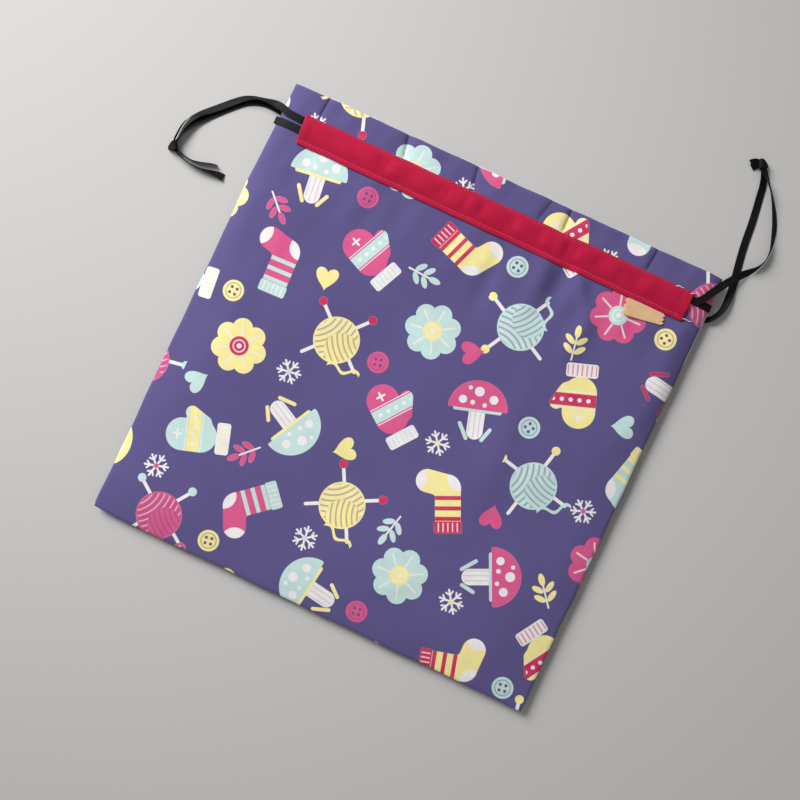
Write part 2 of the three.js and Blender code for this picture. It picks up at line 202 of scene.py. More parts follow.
class BagStageSettings(bpy.types.PropertyGroup):
    """Floor, light and camera."""

    floor: colour("Floor", "Plain pale floor", 198, 196, 194)
    lens: FloatProperty(
        name="Lens", description="Focal length in millimetres on a frame 36 mm wide", default=50, min=1
    )
    distance: length("Distance", "From the camera to the point it looks at", 895)
    turn: angle("Turn", "How far the bag is turned in the picture", 25.2)
    aim: FloatVectorProperty(
        name="Aim", description="The point the camera looks at", subtype="TRANSLATION", size=3,
        default=(-2.2 * MM, -6.9 * MM, 6.1 * MM),
    )
    tilt: FloatVectorProperty(
        name="Tilt", size=2, default=(0.0411, -0.0098),
        description="How far the camera stands off straight above, in X and Y per unit of height",
    )
    sky: FloatProperty(name="Sky", description="Strength of the even light all round", default=0.26, min=0)
    lamp: FloatProperty(
        name="Lamp", description="Power of the large soft lamp in watts", default=9.0, min=0
    )


# The soft lamp: its place and the point it faces, both from the camera's aim, its width, and its spread,
# which is narrow so that the floor beneath it stays dim.
LAMP_PLACE = Vector((-1.43, 0.68, 1.05))
LAMP_AIM = Vector((-0.24, 0.11, 0))
LAMP_SIZE = 1.2
LAMP_SPREAD = math.radians(70)

# The floor's half width and its points each way.
FLOOR_REACH = 15
FLOOR_POINTS = 4

# The width of the camera's frame in millimetres, and the nearest distance that it sees.
FRAME_WIDTH = 36
NEAREST_VIEW = 0.01


def settings():
    """The scene's settings for the bag."""
    scene = bpy.context.scene
    return SimpleNamespace(
        cloth=scene.bag_cloth, casing=scene.bag_casing, ribbon=scene.bag_ribbon, label=scene.bag_label,
        stage=scene.bag_stage,
    )


# Waves in the cloth: their lengths, how far they may lean, and the seed of their phases and leans.
SLACK_WAVES = ((0.19, 0.12, 0.26), 0.9, 3)
GATHER_WAVES = ((0.023, 0.031, 0.047, 0.07), 0.25, 5)
FRILL_WAVES = ((0.019, 0.033, 0.05), 0.3, 11)
BACK_SLACK_WAVES = ((0.15, 0.09, 0.21), 0.8, 17)
BACK_FRILL_WAVES = ((0.027, 0.041), 0.3, 19)
SIDE_WAVES = ((0.09, 0.047, 0.15), 0, 23)
FOOT_WAVES = ((0.11, 0.06, 0.17), 0, 29)
PUCKER_WAVES = ((0.022, 0.033, 0.052, 0.027), 0.5, 31)
FRONT_SWAY_WAVES = ((0.031, 0.055, 0.083), 0, 37)
BACK_SWAY_WAVES = ((0.031, 0.055, 0.083), 0, 41)
SEAM_WAVES = ((0.012, 0.021, 0.04), 0, 59)

# Lengths of the waves along a mouth edge, each of which has its own seed.
MOUTH_WAVES = (0.037, 0.061, 0.11)

# The front wall's slackness: the middle and reach of its sag across and up the bag, and the heights up the
# bag over which the broad waves fade, the gathers rise, the casing presses them by a share, the soft folds
# end and the strip above the casing starts, which has a frill.
SAG_MIDDLE = (10 * MM, -25 * MM)
SAG_REACH = (120 * MM, 115 * MM)
SLACK_FADE = (0.09, 0.14)
GATHER_RISE = (0.07, 0.135)
GATHER_PRESS = (0.138, 0.147)
PRESSED_SHARE = 0.75
FOLD_END = (CASING_BOTTOM - 2 * MM, CASING_BOTTOM + 7 * MM)
STRIP_START = (CASING_TOP - 1 * MM, CASING_TOP + 2.5 * MM)
FRILL = 0.45 * MM

# The back wall's broad waves, the heights over which they fade, and its frill at the mouth.
BACK_SLACK = 0.3 * MM
BACK_SLACK_FADE = (0.08, 0.11)
BACK_FRILL = 0.5 * MM

# The outline: how far the lower corners draw in and over what distance, how far the edges wave, the power
# of the nearness to an edge by which that falls off, and where the sides straighten and the left one leans.
CORNER_EASE = 0.3 * MM
CORNER_REACH = 5 * MM
EDGE_WAVE = 0.5 * MM
EDGE_POWER = 6
SIDE_FADE = (0.1, 0.14)
LEAN_START = 0.1

# The grid of a wall: its step, how many steps its columns are worked out on, and how much more of them a
# crease takes within its reach.
WALL_STEP = 2.4 * MM
FINE_STEPS = 4000
CREASE_CROWD = 4
CREASE_REACH = 5 * MM

# Creases in the strip above the casing: place across the mouth, width of the right flank and depth, in
# millimetres, and lean across the bag per unit up it.
STRIP_CREASES = (
    (-158, 5.0, 1.7, 0.08), (-87, 4.0, 2.4, -0.21), (-25, 5.0, 2.0, -0.18),
    (41, 5.0, 1.1, 0.24), (58, 4.0, 2.2, -0.03), (134, 6.0, 1.7, 0.1),
)
CREASE_EDGE = 1.8 * MM

# Soft folds below the casing: place across and up the bag in millimetres, lean across it per unit up it,
# and half length, half width and height in millimetres. A negative height is a hollow.
WALL_FOLDS = (
    (58.5, 132, -0.05, 24, 10, 2.6), (73.5, 132, -0.05, 24, 10, -2.0), (90, 137, -0.75, 18, 7, 2.2),
    (105, 100, 0.1, 20, 9, 2.2), (128, 128, -0.3, 18, 9, 1.4), (20, 118, 0.0, 32, 8, -1.8),
    (-70, 132, -0.2, 18, 9, -0.8), (88, 10, 0.0, 60, 14, 1.6), (-150, 40, 0.1, 60, 12, 0.6),
    (150, -30, -0.2, 70, 14, -0.7), (60, -140, 1.2, 50, 14, 0.5), (-90, -150, -1.0, 45, 12, -0.5),
)


# Fields over the bag's plan: heights of the walls and their folds.


def smoothstep(value, start, end):
    """0 up to start, 1 from end on, with a smooth climb between."""
    share = np.clip((value - start) / (end - start), 0, 1)
    return share * share * (3 - 2 * share)


def hump(value, centre, width):
    """A bell: 1 at centre, falling to 1/e at width from it."""
    return np.exp(-(((value - centre) / width) ** 2))


def waves(along, across, lengths, lean, seed):
    """The mean of sines along one direction, each with a seeded phase and a seeded lean into the other."""
    rng = np.random.default_rng(seed)
    phases = rng.uniform(0, 2 * np.pi, len(lengths))
    leans = rng.uniform(-lean, lean, len(lengths))
    return sum(
        np.sin(2 * np.pi * (along + slope * across) / wave + phase)
        for wave, phase, slope in zip(lengths, phases, leans)
    ) / len(lengths)


def fullness(x, y):
    """How far a wall has climbed from its seams: 1 minus the square of the nearness to a side or the bottom.

    The climb takes SIDE_FALL low down and MOUTH_FALL at the mouth. A fourth-power sum of both nearnesses
    rounds the corners.
    """
    fall = SIDE_FALL + (MOUTH_FALL - SIDE_FALL) * smoothstep(y, WAIST_LOW, WAIST_HIGH)
    side = np.clip(1 - (HALF_WIDTH - np.abs(x)) / fall, 0, None)
    foot = np.clip(1 - (y - BOTTOM) / SIDE_FALL, 0, None)
    return 1 - np.minimum((side**4 + foot**4) ** 0.25, 1) ** 2


def fold(x, y, middle_x, middle_y, lean, half_length, half_width, height):
    """One soft fold: a bell across it times a bell along it, leaning across the bag as it goes up."""
    along = (y - middle_y * MM) / (half_length * MM)
    across = (x - middle_x * MM - lean * (y - middle_y * MM)) / (half_width * MM)
    return height * MM * np.exp(-(along**2) - across**2)


def crease(x, y, bottom_x, width, depth, lean):
    """One sharp crease: an exponential drop over CREASE_EDGE from the left and a climb over its width."""
    across = x - bottom_x * MM - lean * (y - MOUTH)
    return -depth * MM * np.exp(-np.where(across > 0, across / (width * MM), -across / CREASE_EDGE))


def columns_across(span, sign):
    """Distances from the middle to span: WALL_STEP apart, and up to five times closer near a crease.

    Each takes an equal share of a density with a bell round every crease.
    """
    fine = np.linspace(0, span, FINE_STEPS)
    crowd = sum(hump(sign * fine, bottom_x * MM, CREASE_REACH) for bottom_x, *_ in STRIP_CREASES)
    total = np.cumsum(1 + CREASE_CROWD * crowd) * (fine[1] - fine[0])
    count = round(total[-1] / WALL_STEP) + 1
    return np.interp(np.linspace(total[0], total[-1], count), total, fine)


def front_relief(x, y):
    """Height that slackness adds to the front wall.

    A sag in the middle, broad waves, small gathers that are highest just below the casing and mostly
    pressed flat under it, soft folds that end at the casing, and sharp creases and a frill in the strip
    above it.
    """
    cloth = settings().cloth
    sag = -cloth.sag * hump(x, SAG_MIDDLE[0], SAG_REACH[0]) * hump(y, SAG_MIDDLE[1], SAG_REACH[1])
    slack = cloth.slack * waves(x, y, *SLACK_WAVES) * (1 - smoothstep(y, *SLACK_FADE))
    beside = smoothstep(y, *GATHER_RISE) - PRESSED_SHARE * smoothstep(y, *GATHER_PRESS)
    gathers = cloth.gathers * beside * waves(x, y, *GATHER_WAVES)
    creases = sum(crease(x, y, *shape) for shape in STRIP_CREASES)
    strip = smoothstep(y, *STRIP_START) * (creases + FRILL * waves(x, y, *FRILL_WAVES))
    folds = sum(fold(x, y, *shape) for shape in WALL_FOLDS) * (1 - smoothstep(y, *FOLD_END))
    return sag + slack + gathers + strip + folds


def front_height(x, y):
    """Height of the front wall's face: from the pinched seam up to the full level, plus its relief."""
    rim = SEAM_LEVEL + SEAM_PINCH / 2 + CLOTH
    return rim + (FRONT_LEVEL - rim + front_relief(x, y)) * fullness(x, y)


def back_height(x, y):
    """Height of the back wall's face: from the pinched seam down to the table, and up over its casing."""
    rim = SEAM_LEVEL - SEAM_PINCH / 2 - CLOTH
    lift = CASING_DEPTH * smoothstep(y, CASING_BOTTOM - BACK_RAMP, CASING_BOTTOM)
    slack = BACK_SLACK * (1 + waves(x, y, *BACK_SLACK_WAVES)) * (1 - smoothstep(y, *BACK_SLACK_FADE))
    frill = BACK_FRILL * waves(x, y, *BACK_FRILL_WAVES) * smoothstep(y, CASING_TOP, MOUTH)
    return rim + (lift + slack + frill - rim) * fullness(x, y)


def settled(points):
    """The same points with the bag's outline eased.

    The lower corners are soft, the side and bottom edges wave slightly, and the left edge leans in towards
    the mouth.
    """
    x, y, z = np.moveaxis(points, -1, 0)
    corner = CORNER_EASE * hump(np.hypot(HALF_WIDTH - np.abs(x), y - BOTTOM), 0, CORNER_REACH)
    near_side = (np.abs(x) / HALF_WIDTH) ** EDGE_POWER * (1 - smoothstep(y, *SIDE_FADE))
    near_left = np.clip(-x / HALF_WIDTH, 0, 1) ** EDGE_POWER
    near_foot = np.clip(-y / HALF_WIDTH, 0, 1) ** EDGE_POWER
    side = EDGE_WAVE * waves(y, x, *SIDE_WAVES) * near_side
    foot = EDGE_WAVE * waves(x, y, *FOOT_WAVES) * near_foot
    lean = MOUTH_LEAN * smoothstep(y, LEAN_START, MOUTH) * near_left
    return np.stack([x - np.sign(x) * (corner + side) + lean, y + corner + foot, z], -1)


# Surfaces: arrays of points, faces, cloth map and material numbers.


def grid_faces(rows, columns):
    """Four-cornered faces of a grid whose rows and columns are numbered row by row."""
    index = np.arange(rows * columns).reshape(rows, columns)
    return np.stack([index[:-1, :-1], index[:-1, 1:], index[1:, 1:], index[1:, :-1]], -1).reshape(-1, 4)


def tube_faces(rings, sides):
    """Four-cornered faces of a closed tube of even rings: round its wall and over its two end rings."""
    index = np.arange(rings * sides).reshape(rings, sides)
    after = np.roll(index, -1, axis=1)
    walls = np.stack([index[:-1], after[:-1], after[1:], index[1:]], -1).reshape(-1, 4)
    near = np.arange(sides // 2 - 1)
    far = sides - 1 - near
    return np.concatenate([
        walls,
        index[0][np.stack([far, far - 1, near + 1, near], -1)],
        index[-1][np.stack([near, near + 1, far - 1, far], -1)],
    ])


def closed_sheet(face, reverse, cloth_map, rounded=(True, True, True, True)):
    """Two grids of points joined round their edge by a rim that bulges on the rounded sides.

    It bulges by half the thickness. The sides are the first row, the last column, the last row and the
    first column. Face and rim take the first material, and the reverse takes the second.
    """
    rows, columns = face.shape[:2]
    count = rows * columns
    index = np.arange(count).reshape(rows, columns)
    edge = np.concatenate([index[0, :-1], index[:-1, -1], index[-1, :0:-1], index[:0:-1, 0]])
    core = (face + reverse) / 2
    away = np.concatenate([
        rounded[0] * (core[0] - core[1])[:-1],
        rounded[1] * (core[:, -1] - core[:, -2])[:-1],
        rounded[2] * (core[-1] - core[-2])[:0:-1],
        rounded[3] * (core[:, 0] - core[:, 1])[:0:-1],
    ])
    away /= np.maximum(np.linalg.norm(away, axis=1, keepdims=True), 1e-12)
    face, reverse, core = face.reshape(-1, 3), reverse.reshape(-1, 3), core.reshape(-1, 3)
    half = np.linalg.norm(face[edge] - reverse[edge], axis=1, keepdims=True) / 2
    rim = 2 * count + np.arange(len(edge))
    after, rim_after = np.roll(edge, -1), np.roll(rim, -1)
    quads = grid_faces(rows, columns)
    flat_map = cloth_map.reshape(-1, 2)
    return SimpleNamespace(
        points=np.concatenate([face, reverse, core[edge] + away * half]),
        faces=np.concatenate([
            quads,
            quads[:, ::-1] + count,
            np.stack([count + edge, count + after, rim_after, rim], -1),
            np.stack([rim, rim_after, after, edge], -1),
        ]),
        cloth_map=np.concatenate([flat_map, flat_map, flat_map[edge]]),
        materials=np.repeat([0, 1, 0], [len(quads), len(quads), 2 * len(edge)]),
    )


def joined(*surfaces):
    """Several surfaces as one, with their point numbers shifted along."""
    starts = np.cumsum([0] + [len(surface.points) for surface in surfaces[:-1]])
    return SimpleNamespace(
        points=np.concatenate([surface.points for surface in surfaces]),
        faces=np.concatenate([surface.faces + start for surface, start in zip(surfaces, starts)]),
        cloth_map=np.concatenate([surface.cloth_map for surface in surfaces]),
        materials=np.concatenate([surface.materials for surface in surfaces]),
    )


def plain_surface(points, faces, cloth_map):
    """A surface of one material from its faces and its grids of points and map."""
    return SimpleNamespace(
        points=points.reshape(-1, 3), faces=faces, cloth_map=cloth_map.reshape(-1, 2),
        materials=np.zeros(len(faces), int),
    )


def add_piece(name, surface, slot, *materials, sharp=55):
    """Put a surface into the scene as a smooth mesh with its cloth map and materials.

    Edges that turn by more than sharp degrees stay sharp. The slot is not used.
    """
    mesh = bpy.data.meshes.new(name)
    corners = surface.faces.ravel()
    mesh.vertices.add(len(surface.points))
    mesh.vertices.foreach_set("co", surface.points.astype(np.float32).ravel())
    mesh.loops.add(len(corners))
    mesh.loops.foreach_set("vertex_index", corners.astype(np.int32))
    mesh.polygons.add(len(surface.faces))
    mesh.polygons.foreach_set("loop_start", np.arange(0, len(corners), 4, dtype=np.int32))
    mesh.polygons.foreach_set("material_index", surface.materials.astype(np.int32))
    mesh.update(calc_edges=True)
    cloth_map = mesh.uv_layers.new(name=CLOTH_MAP)
    cloth_map.uv.foreach_set("vector", surface.cloth_map[corners].astype(np.float32).ravel())
    mesh.shade_smooth()
    mesh.set_sharp_from_angle(angle=math.radians(sharp))
    for material in materials:
        mesh.materials.append(material)
    piece = bpy.data.objects.new(name, mesh)
    bpy.context.scene.collection.objects.link(piece)
    return piece


# The sign of X on each half of the bag.
SIDE_SIGN = {"left": -1, "right": 1}

# The line along which the cloth's share of a pull rises, from the middle of the mouth: across and up, as
# shares of a reach a little less than the bag's width.
DRAW_REACH = 0.92 * 2 * HALF_WIDTH


def gather(piece):
    """Bake a piece's placement into its mesh.
    """
    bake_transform(piece)


def half_wall(side, outward, inset, high, height, thickness, map_shift):
    """One half of a wall as a closed sheet, from the bag's middle line to inset inside its side seam.

    X runs across the half, and Y from the bottom to the mouth edge, which high gives for each X. The face
    stands at height and the reverse lies thickness behind it. Outward is 1 if the face looks up, else -1.
    """
    sign = SIDE_SIGN[side]
    rows = round((MOUTH - BOTTOM) / WALL_STEP) + 1
    across = np.sort(sign * columns_across(HALF_WIDTH - inset, sign))[::outward]
    up = np.linspace(0, 1, rows)[:, None]
    x = np.broadcast_to(across, (rows, len(across)))
    y = BOTTOM + inset + up * (high(x) - BOTTOM - inset)
    face = settled(np.stack([x, y, height(x, y)], -1))
    reverse = face - np.array((0, 0, outward * thickness))
    cloth_map = np.stack([outward * x, y], -1) + map_shift
    middle_last = sign * outward < 0
    return closed_sheet(face, reverse, cloth_map, (True, not middle_last, True, middle_last))


# Ribbons: a flat band carried along a path.


def smooth_path(stops, steps):
    """A smooth curve through stops, each segment a cubic whose end slopes come from its neighbours.

    The spacing goes by the square root of the distance between stops, so that tight turns don't overshoot.
    Columns past the first three, such as a roll angle, go along.
    """
    stops = np.asarray(stops, float)
    padded = np.concatenate([2 * stops[:1] - stops[1:2], stops, 2 * stops[-1:] - stops[-2:-1]])
    gaps = np.sqrt(np.linalg.norm(np.diff(padded[:, :3], axis=0), axis=1))[:, None]
    slopes = np.diff(padded, axis=0) / gaps
    chords = (padded[2:] - padded[:-2]) / (gaps[:-1] + gaps[1:])
    bends = slopes[:-1] - chords + slopes[1:]
    span = gaps[1:-1]
    start, end = stops[:-1], stops[1:]
    leave, arrive = bends[:-1] * span, bends[1:] * span
    share = np.linspace(0, 1, steps, endpoint=False)[:, None, None]
    curve = (
        start + leave * share
        + (3 * (end - start) - 2 * leave - arrive) * share**2
        + (2 * (start - end) + leave + arrive) * share**3
    )
    return np.concatenate([np.swapaxes(curve, 0, 1).reshape(-1, stops.shape[1]), stops[-1:]])


def unit(vectors):
    """Vectors scaled to length 1."""
    return vectors / np.linalg.norm(vectors, axis=-1, keepdims=True)


def path_length(points):
    """Distance along a path up to each of its points."""
    return np.concatenate([[0], np.cumsum(np.linalg.norm(np.diff(points, axis=0), axis=1))])


# How much thinner a ribbon is at its selvedges than in its middle, as a share.
SELVEDGE_THIN = 0.45


def band(points, widths, width=RIBBON_WIDTH, thickness=RIBBON_THICKNESS, curl=0.0, columns=11):
    """A flat ribbon along a path: its section is a slim bar across widths, curled by a shallow parabola.

    The thickness falls off as the sixth power towards the selvedges, and the map runs across and along. The
    width is one number, or one for each point of a ribbon that is folded narrower.
    """
    along = unit(np.gradient(points, axis=0))
    across = unit(widths - np.sum(widths * along, axis=1, keepdims=True) * along)
    up = np.cross(across, along)
    share = np.sin(np.linspace(-np.pi / 2, np.pi / 2, columns))
    half = thickness / 2 * (1 - SELVEDGE_THIN * share**6)
    rise = curl * (share**2 - 1 / 3)
    spread = share * np.reshape(width, (-1, 1)) / 2
    centre = points[:, None] + across[:, None] * spread[..., None] + up[:, None] * rise[:, None]
    offset = up[:, None] * half[:, None]
    cloth_map = np.stack(np.broadcast_arrays(spread, path_length(points)[:, None]), -1)
    surface = closed_sheet(centre + offset, centre - offset, cloth_map)
    surface.materials[:] = 0
    return surface


def rolled(stops, steps=8):
    """Points and width directions of a strand whose stops are X, Y, Z and roll in degrees.

    At roll 0 the ribbon lies level, and at 90 it stands on edge.
    """
    curve = smooth_path(stops, steps)
    points, roll = curve[:, :3], np.radians(curve[:, 3:])
    along = np.gradient(points, axis=0)
    level = unit(np.stack([along[:, 1], -along[:, 0], np.zeros(len(along))], -1))
    return points, np.cos(roll) * level + np.sin(roll) * np.array((0, 0, 1.0))


# Routes of the loose ribbons: X and Y from the bag's upper corner on that side and height above the table,
# in millimetres, and roll in degrees. A strand runs from its casing to its knot, a tail out of its knot.
ROUTES = {
    "left_ribbon_front_strand": (
        (8, -25.4, 9.9, 0), (2, -23.6, 8.9, 0), (-4, -22.5, 7.2, -4), (-9.5, -22.1, 5.4, -28),
        (-15, -22.3, 3.9, -48), (-21, -23.2, 3.1, -56), (-27, -25.2, 2.6, -46), (-33, -28.8, 2.1, -28),
        (-39.5, -34.8, 1.9, -14), (-46.5, -41.8, 1.9, -14), (-53.5, -48.6, 2, -18), (-60, -54.8, 2.6, -36),
        (-65, -60, 3.2, -60), (-68.2, -65.6, 3.5, -76), (-69.5, -71.6, 3.6, -82), (-69.8, -77.6, 3.7, -84),
        (-69.7, -83.3, 3.8, -86),
    ),
    "left_ribbon_back_strand": (
        (8, -25.9, 1.6, 0), (1, -25.2, 1.2, 0), (-5.5, -24.4, 0.8, 0), (-11.5, -24.2, 0.55, 0),
        (-17.5, -24.9, 0.5, 0), (-23.5, -26.7, 0.5, 0), (-29.5, -30, 0.5, 0), (-36, -35.6, 0.5, 0),
        (-42.5, -42.2, 0.5, 0), (-49, -49.2, 0.5, -2), (-55, -56, 0.7, -6), (-60.6, -62.8, 1.2, -18),
        (-64.2, -69.6, 2, -36), (-66.2, -75.8, 2.9, -60), (-67.2, -80.3, 3.5, -76),
        (-67.6, -83.3, 3.8, -86),
    ),
    "right_ribbon_front_strand": (
        (-12.4, -26, 11, 0), (-8.2, -22, 10.8, 0), (-4.6, -15.6, 10.3, 0), (-0.8, -9.2, 9.2, 0),
        (3.5, -2.3, 7.2, 0), (8, 4, 5, -4), (12.6, 9.8, 3.5, -16), (17.2, 14.8, 2.9, -40),
        (21.6, 20.4, 3.2, -66), (24.6, 27.6, 3.3, -76), (25.2, 36, 3.2, -66), (23.4, 46, 2.7, -46),
        (20.4, 55.6, 2.4, -36), (15.9, 65.2, 2.5, -40), (10.6, 74, 2.9, -52), (5.4, 81.4, 3.2, -60),
        (0.6, 87, 3.5, -56), (-3, 90.4, 4, -40), (-6.65, 93.85, 4.5, -26),
    ),
    "right_ribbon_back_strand": (
        (-10, -34.4, 1.7, 0), (-4.5, -35, 1.4, 8), (0.4, -35, 1.5, 24), (4.6, -33, 2.1, 42),
        (8, -28.8, 2.4, 50), (10.4, -23, 2.3, 46), (11.5, -16, 1.8, 34), (11.4, -8.4, 1.2, 20),
        (10.4, 0, 0.7, 8), (8.9, 9, 0.5, 0), (7.2, 18.6, 0.5, 0), (5.5, 29, 0.5, 0), (4.2, 40, 0.5, 0),
        (3.2, 51, 0.5, 0), (1.7, 62, 0.6, -4), (-0.2, 73, 0.9, -8), (-1.8, 81.6, 1.6, -16),
        (-3.6, 87.2, 2.4, -22), (-5.2, 91, 2.9, -24), (-6.65, 93.85, 3.2, -26),
    ),
    "left_ribbon_tail_1": (
        (-63.9, -89.4, 3.6, 86), (-60.5, -90.6, 3.4, 84), (-56.5, -91.6, 3.2, 82), (-52, -92.2, 3.2, 82),
        (-47.5, -92, 3.2, 82), (-43.2, -91.1, 3.2, 82), (-39.4, -89.9, 3.2, 80), (-35.8, -88.7, 3.1, 78),
        (-32.6, -88, 3.1, 76), (-29.6, -87.8, 3.1, 74),
    ),
    "left_ribbon_tail_2": (
        (-63.9, -91.5, 3.6, 86), (-60.5, -93.2, 3.4, 84), (-56.5, -94.5, 3.2, 82), (-51.5, -95.4, 3.2, 80),
        (-46, -95.8, 3.1, 76), (-40.8, -95.8, 3, 70), (-35.8, -95.3, 2.7, 60), (-31, -94.6, 2.3, 46),
        (-26, -94.1, 1.8, 30), (-20.6, -94.2, 1.2, 16),
    ),
    "right_ribbon_tail_1": (
        (-15.9, 97.2, 4.3, 36), (-16.8, 96.6, 3.9, 30), (-17.7, 95.9, 3.5, 24), (-18.4, 95.1, 3, 18),
    ),
    "right_ribbon_tail_2": (
        (-14.2, 95, 2.9, 40), (-15, 94.3, 2.6, 36), (-15.7, 93.5, 2.2, 30), (-16.3, 92.7, 1.9, 24),
    ),
}

# The bight that stands out of a knot: across the knot, along it, height above the table and width, in
# millimetres.
KNOT_BIGHT = (
    (2.4, 0.4, 6.0, 7.0), (0.6, 0.3, 6.9, 7.6), (-1.4, 0.0, 6.3, 6.6), (-3.4, -0.6, 4.7, 4.6),
    (-5.2, -1.1, 2.7, 2.6), (-5.7, -1.2, 1.5, 1.9), (-5.0, -1.1, 0.7, 2.4), (-2.6, -0.6, 0.6, 4.2),
    (0.4, 0.0, 0.8, 5.6),
)

# How far from a knot's middle a ribbon's end lies in it, as a share of the way to where it comes out.
KNOT_HOLD = 0.45

# How far the knot's lump lies from the middle of its node, which has the bight to one side, and its turn.
KNOT_SHIFT = {"left": Vector((1.4 * MM, 0.6 * MM, 0)), "right": Vector()}
KNOT_TURN = math.radians(25.2)

# The lane in which each strand leaves its casing.
EXIT_LANES = {
    "left_ribbon_front_strand": UPPER_LANE,
    "left_ribbon_back_strand": UPPER_LANE,
    "right_ribbon_front_strand": UPPER_LANE,
    "right_ribbon_back_strand": LOWER_LANE,
}


def knot_middle(side):
    """The middle of a knot's lump."""
    return middle(f"{side}_ribbon_knot") + KNOT_SHIFT[side]


def route_stops(name):
    """A route's stops in metres in the bag's frame, with the end that the knot holds.

    A strand also starts at its casing's end, at the level of the run that it comes from.
    """
    side = name.split("_")[0]
    sign = SIDE_SIGN[side]
    corner = np.array((sign * HALF_WIDTH, MOUTH, 0, 0))
    stops = np.array(ROUTES[name], float) * (MM, MM, MM, 1) + corner
    near = stops[-1] if name in EXIT_LANES else stops[0]
    knot = np.append(knot_middle(side), near[3])
    inside = knot + KNOT_HOLD * (near - knot)
    if name not in EXIT_LANES:
        return np.concatenate([[inside], stops])
    exit_x = sign * (CASING_ENDS[side] + RUN_GAP)
    level = middle(name.replace("strand", "run")).z
    return np.concatenate([[(exit_x, EXIT_LANES[name], level, 0)], stops, [inside]])


# Node trees: numbers and places that vary over a surface, with arithmetic that adds the nodes.


class Value:
    """A number that varies over a surface. Arithmetic on it adds Math nodes to its tree."""

    def __init__(self, tree, socket):
        self.tree = tree
        self.socket = socket

    def math(self, operation, *others, clamp=False):
        """The result of a Math node on this number and others."""
        node = self.tree.nodes.new("ShaderNodeMath")
        node.operation = operation
        node.use_clamp = clamp
        for socket, value in zip(node.inputs, (self, *others)):
            plug(self.tree, value, socket)
        return Value(self.tree, node.outputs[0])

    def __add__(self, other):
        return self.math("ADD", other)

    def __sub__(self, other):
        return self.math("SUBTRACT", other)

    def __mul__(self, other):
        return self.math("MULTIPLY", other)

    def __neg__(self):
        return self.math("MULTIPLY", -1.0)

    def __abs__(self):
        return self.math("ABSOLUTE")

    def inside(self, edge=0.25):
        """1 where this distance is below 0 and 0 above it, with an edge of that many millimetres."""
        return self.math("MULTIPLY_ADD", -1 / edge, 0.5, clamp=True)

    def both(self, other):
        """Distance to where two shapes overlap: the larger of theirs."""
        return self.math("MAXIMUM", other)

    def either(self, other):
        """Distance to two shapes together: the smaller of theirs."""
        return self.math("MINIMUM", other)

    def equals(self, number):
        """1 where this number is the given one."""
        return self.math("COMPARE", float(number), 0.5)


class Place:
    """A place on the cloth in millimetres, as a vector in a node tree."""

    def __init__(self, tree, socket):
        self.tree = tree
        self.socket = socket
        self.parts = None

    def vector(self, operation, *others):
        """The node of a Vector Math operation on this place."""
        node = self.tree.nodes.new("ShaderNodeVectorMath")
        node.operation = operation
        for socket, value in zip(node.inputs, (self, *others)):
            plug(self.tree, value, socket)
        return node

    def part(self, axis):
        """One coordinate."""
        if self.parts is None:
            self.parts = self.tree.nodes.new("ShaderNodeSeparateXYZ")
            plug(self.tree, self, self.parts.inputs[0])
        return Value(self.tree, self.parts.outputs[axis])

    @property
    def x(self):
        """Distance across."""
        return self.part(0)

    @property
    def y(self):
        """Distance up."""
        return self.part(1)

    def __sub__(self, other):
        shift = other if isinstance(other, Place) else (*other, 0)
        return Place(self.tree, self.vector("SUBTRACT", shift).outputs[0])

    def __mul__(self, factors):
        return Place(self.tree, self.vector("MULTIPLY", (*factors, 0)).outputs[0])

    def size(self):
        """Distance from the origin."""
        return Value(self.tree, self.vector("LENGTH").outputs[1])

    def turned(self, turn):
        """The place turned about the origin, by radians or by a Value."""
        node = self.tree.nodes.new("ShaderNodeVectorRotate")
        node.rotation_type = "Z_AXIS"
        plug(self.tree, self, node.inputs["Vector"])
        plug(self.tree, turn, node.inputs["Angle"])
        return Place(self.tree, node.outputs[0])

    def folded(self):
        """The place with its left side laid over its right."""
        return spot(abs(self.x), self.y)

    def fanned(self, count):
        """The place in one of so many equal sectors round the origin, laid along +X."""
        sector = 2 * math.pi / count
        bearing = self.y.math("ARCTAN2", self.x).math("FLOORED_MODULO", sector) - sector / 2
        radius = self.size()
        return spot(radius * bearing.math("COSINE"), radius * bearing.math("SINE"))


def plug(tree, value, socket):
    """Link a Value or Place to a socket, or set a plain number there."""
    if isinstance(value, (Value, Place)):
        tree.links.new(value.socket, socket)
    elif hasattr(value, "__len__") and len(value) == 3 and socket.type == "RGBA":
        socket.default_value = (*value, 1)
    else:
        socket.default_value = value


def spot(x, y):
    """A place from its two coordinates."""
    node = x.tree.nodes.new("ShaderNodeCombineXYZ")
    plug(x.tree, x, node.inputs[0])
    plug(x.tree, y, node.inputs[1])
    return Place(x.tree, node.outputs[0])


def mixed(tree, share, first, second):
    """Colour that goes from the first to the second by share."""
    node = tree.nodes.new("ShaderNodeMix")
    node.data_type = "RGBA"
    for socket, value in ((node.inputs[0], share), (node.inputs[6], first), (node.inputs[7], second)):
        plug(tree, value, socket)
    return Value(tree, node.outputs[2])


def noise(p, scale, detail=2.0):
    """Soft noise from 0 to 1 over a place, with about scale lumps per unit."""
    node = p.tree.nodes.new("ShaderNodeTexNoise")
    node.inputs["Scale"].default_value = scale
    node.inputs["Detail"].default_value = detail
    plug(p.tree, p, node.inputs["Vector"])
    return Value(p.tree, node.outputs["Fac"])


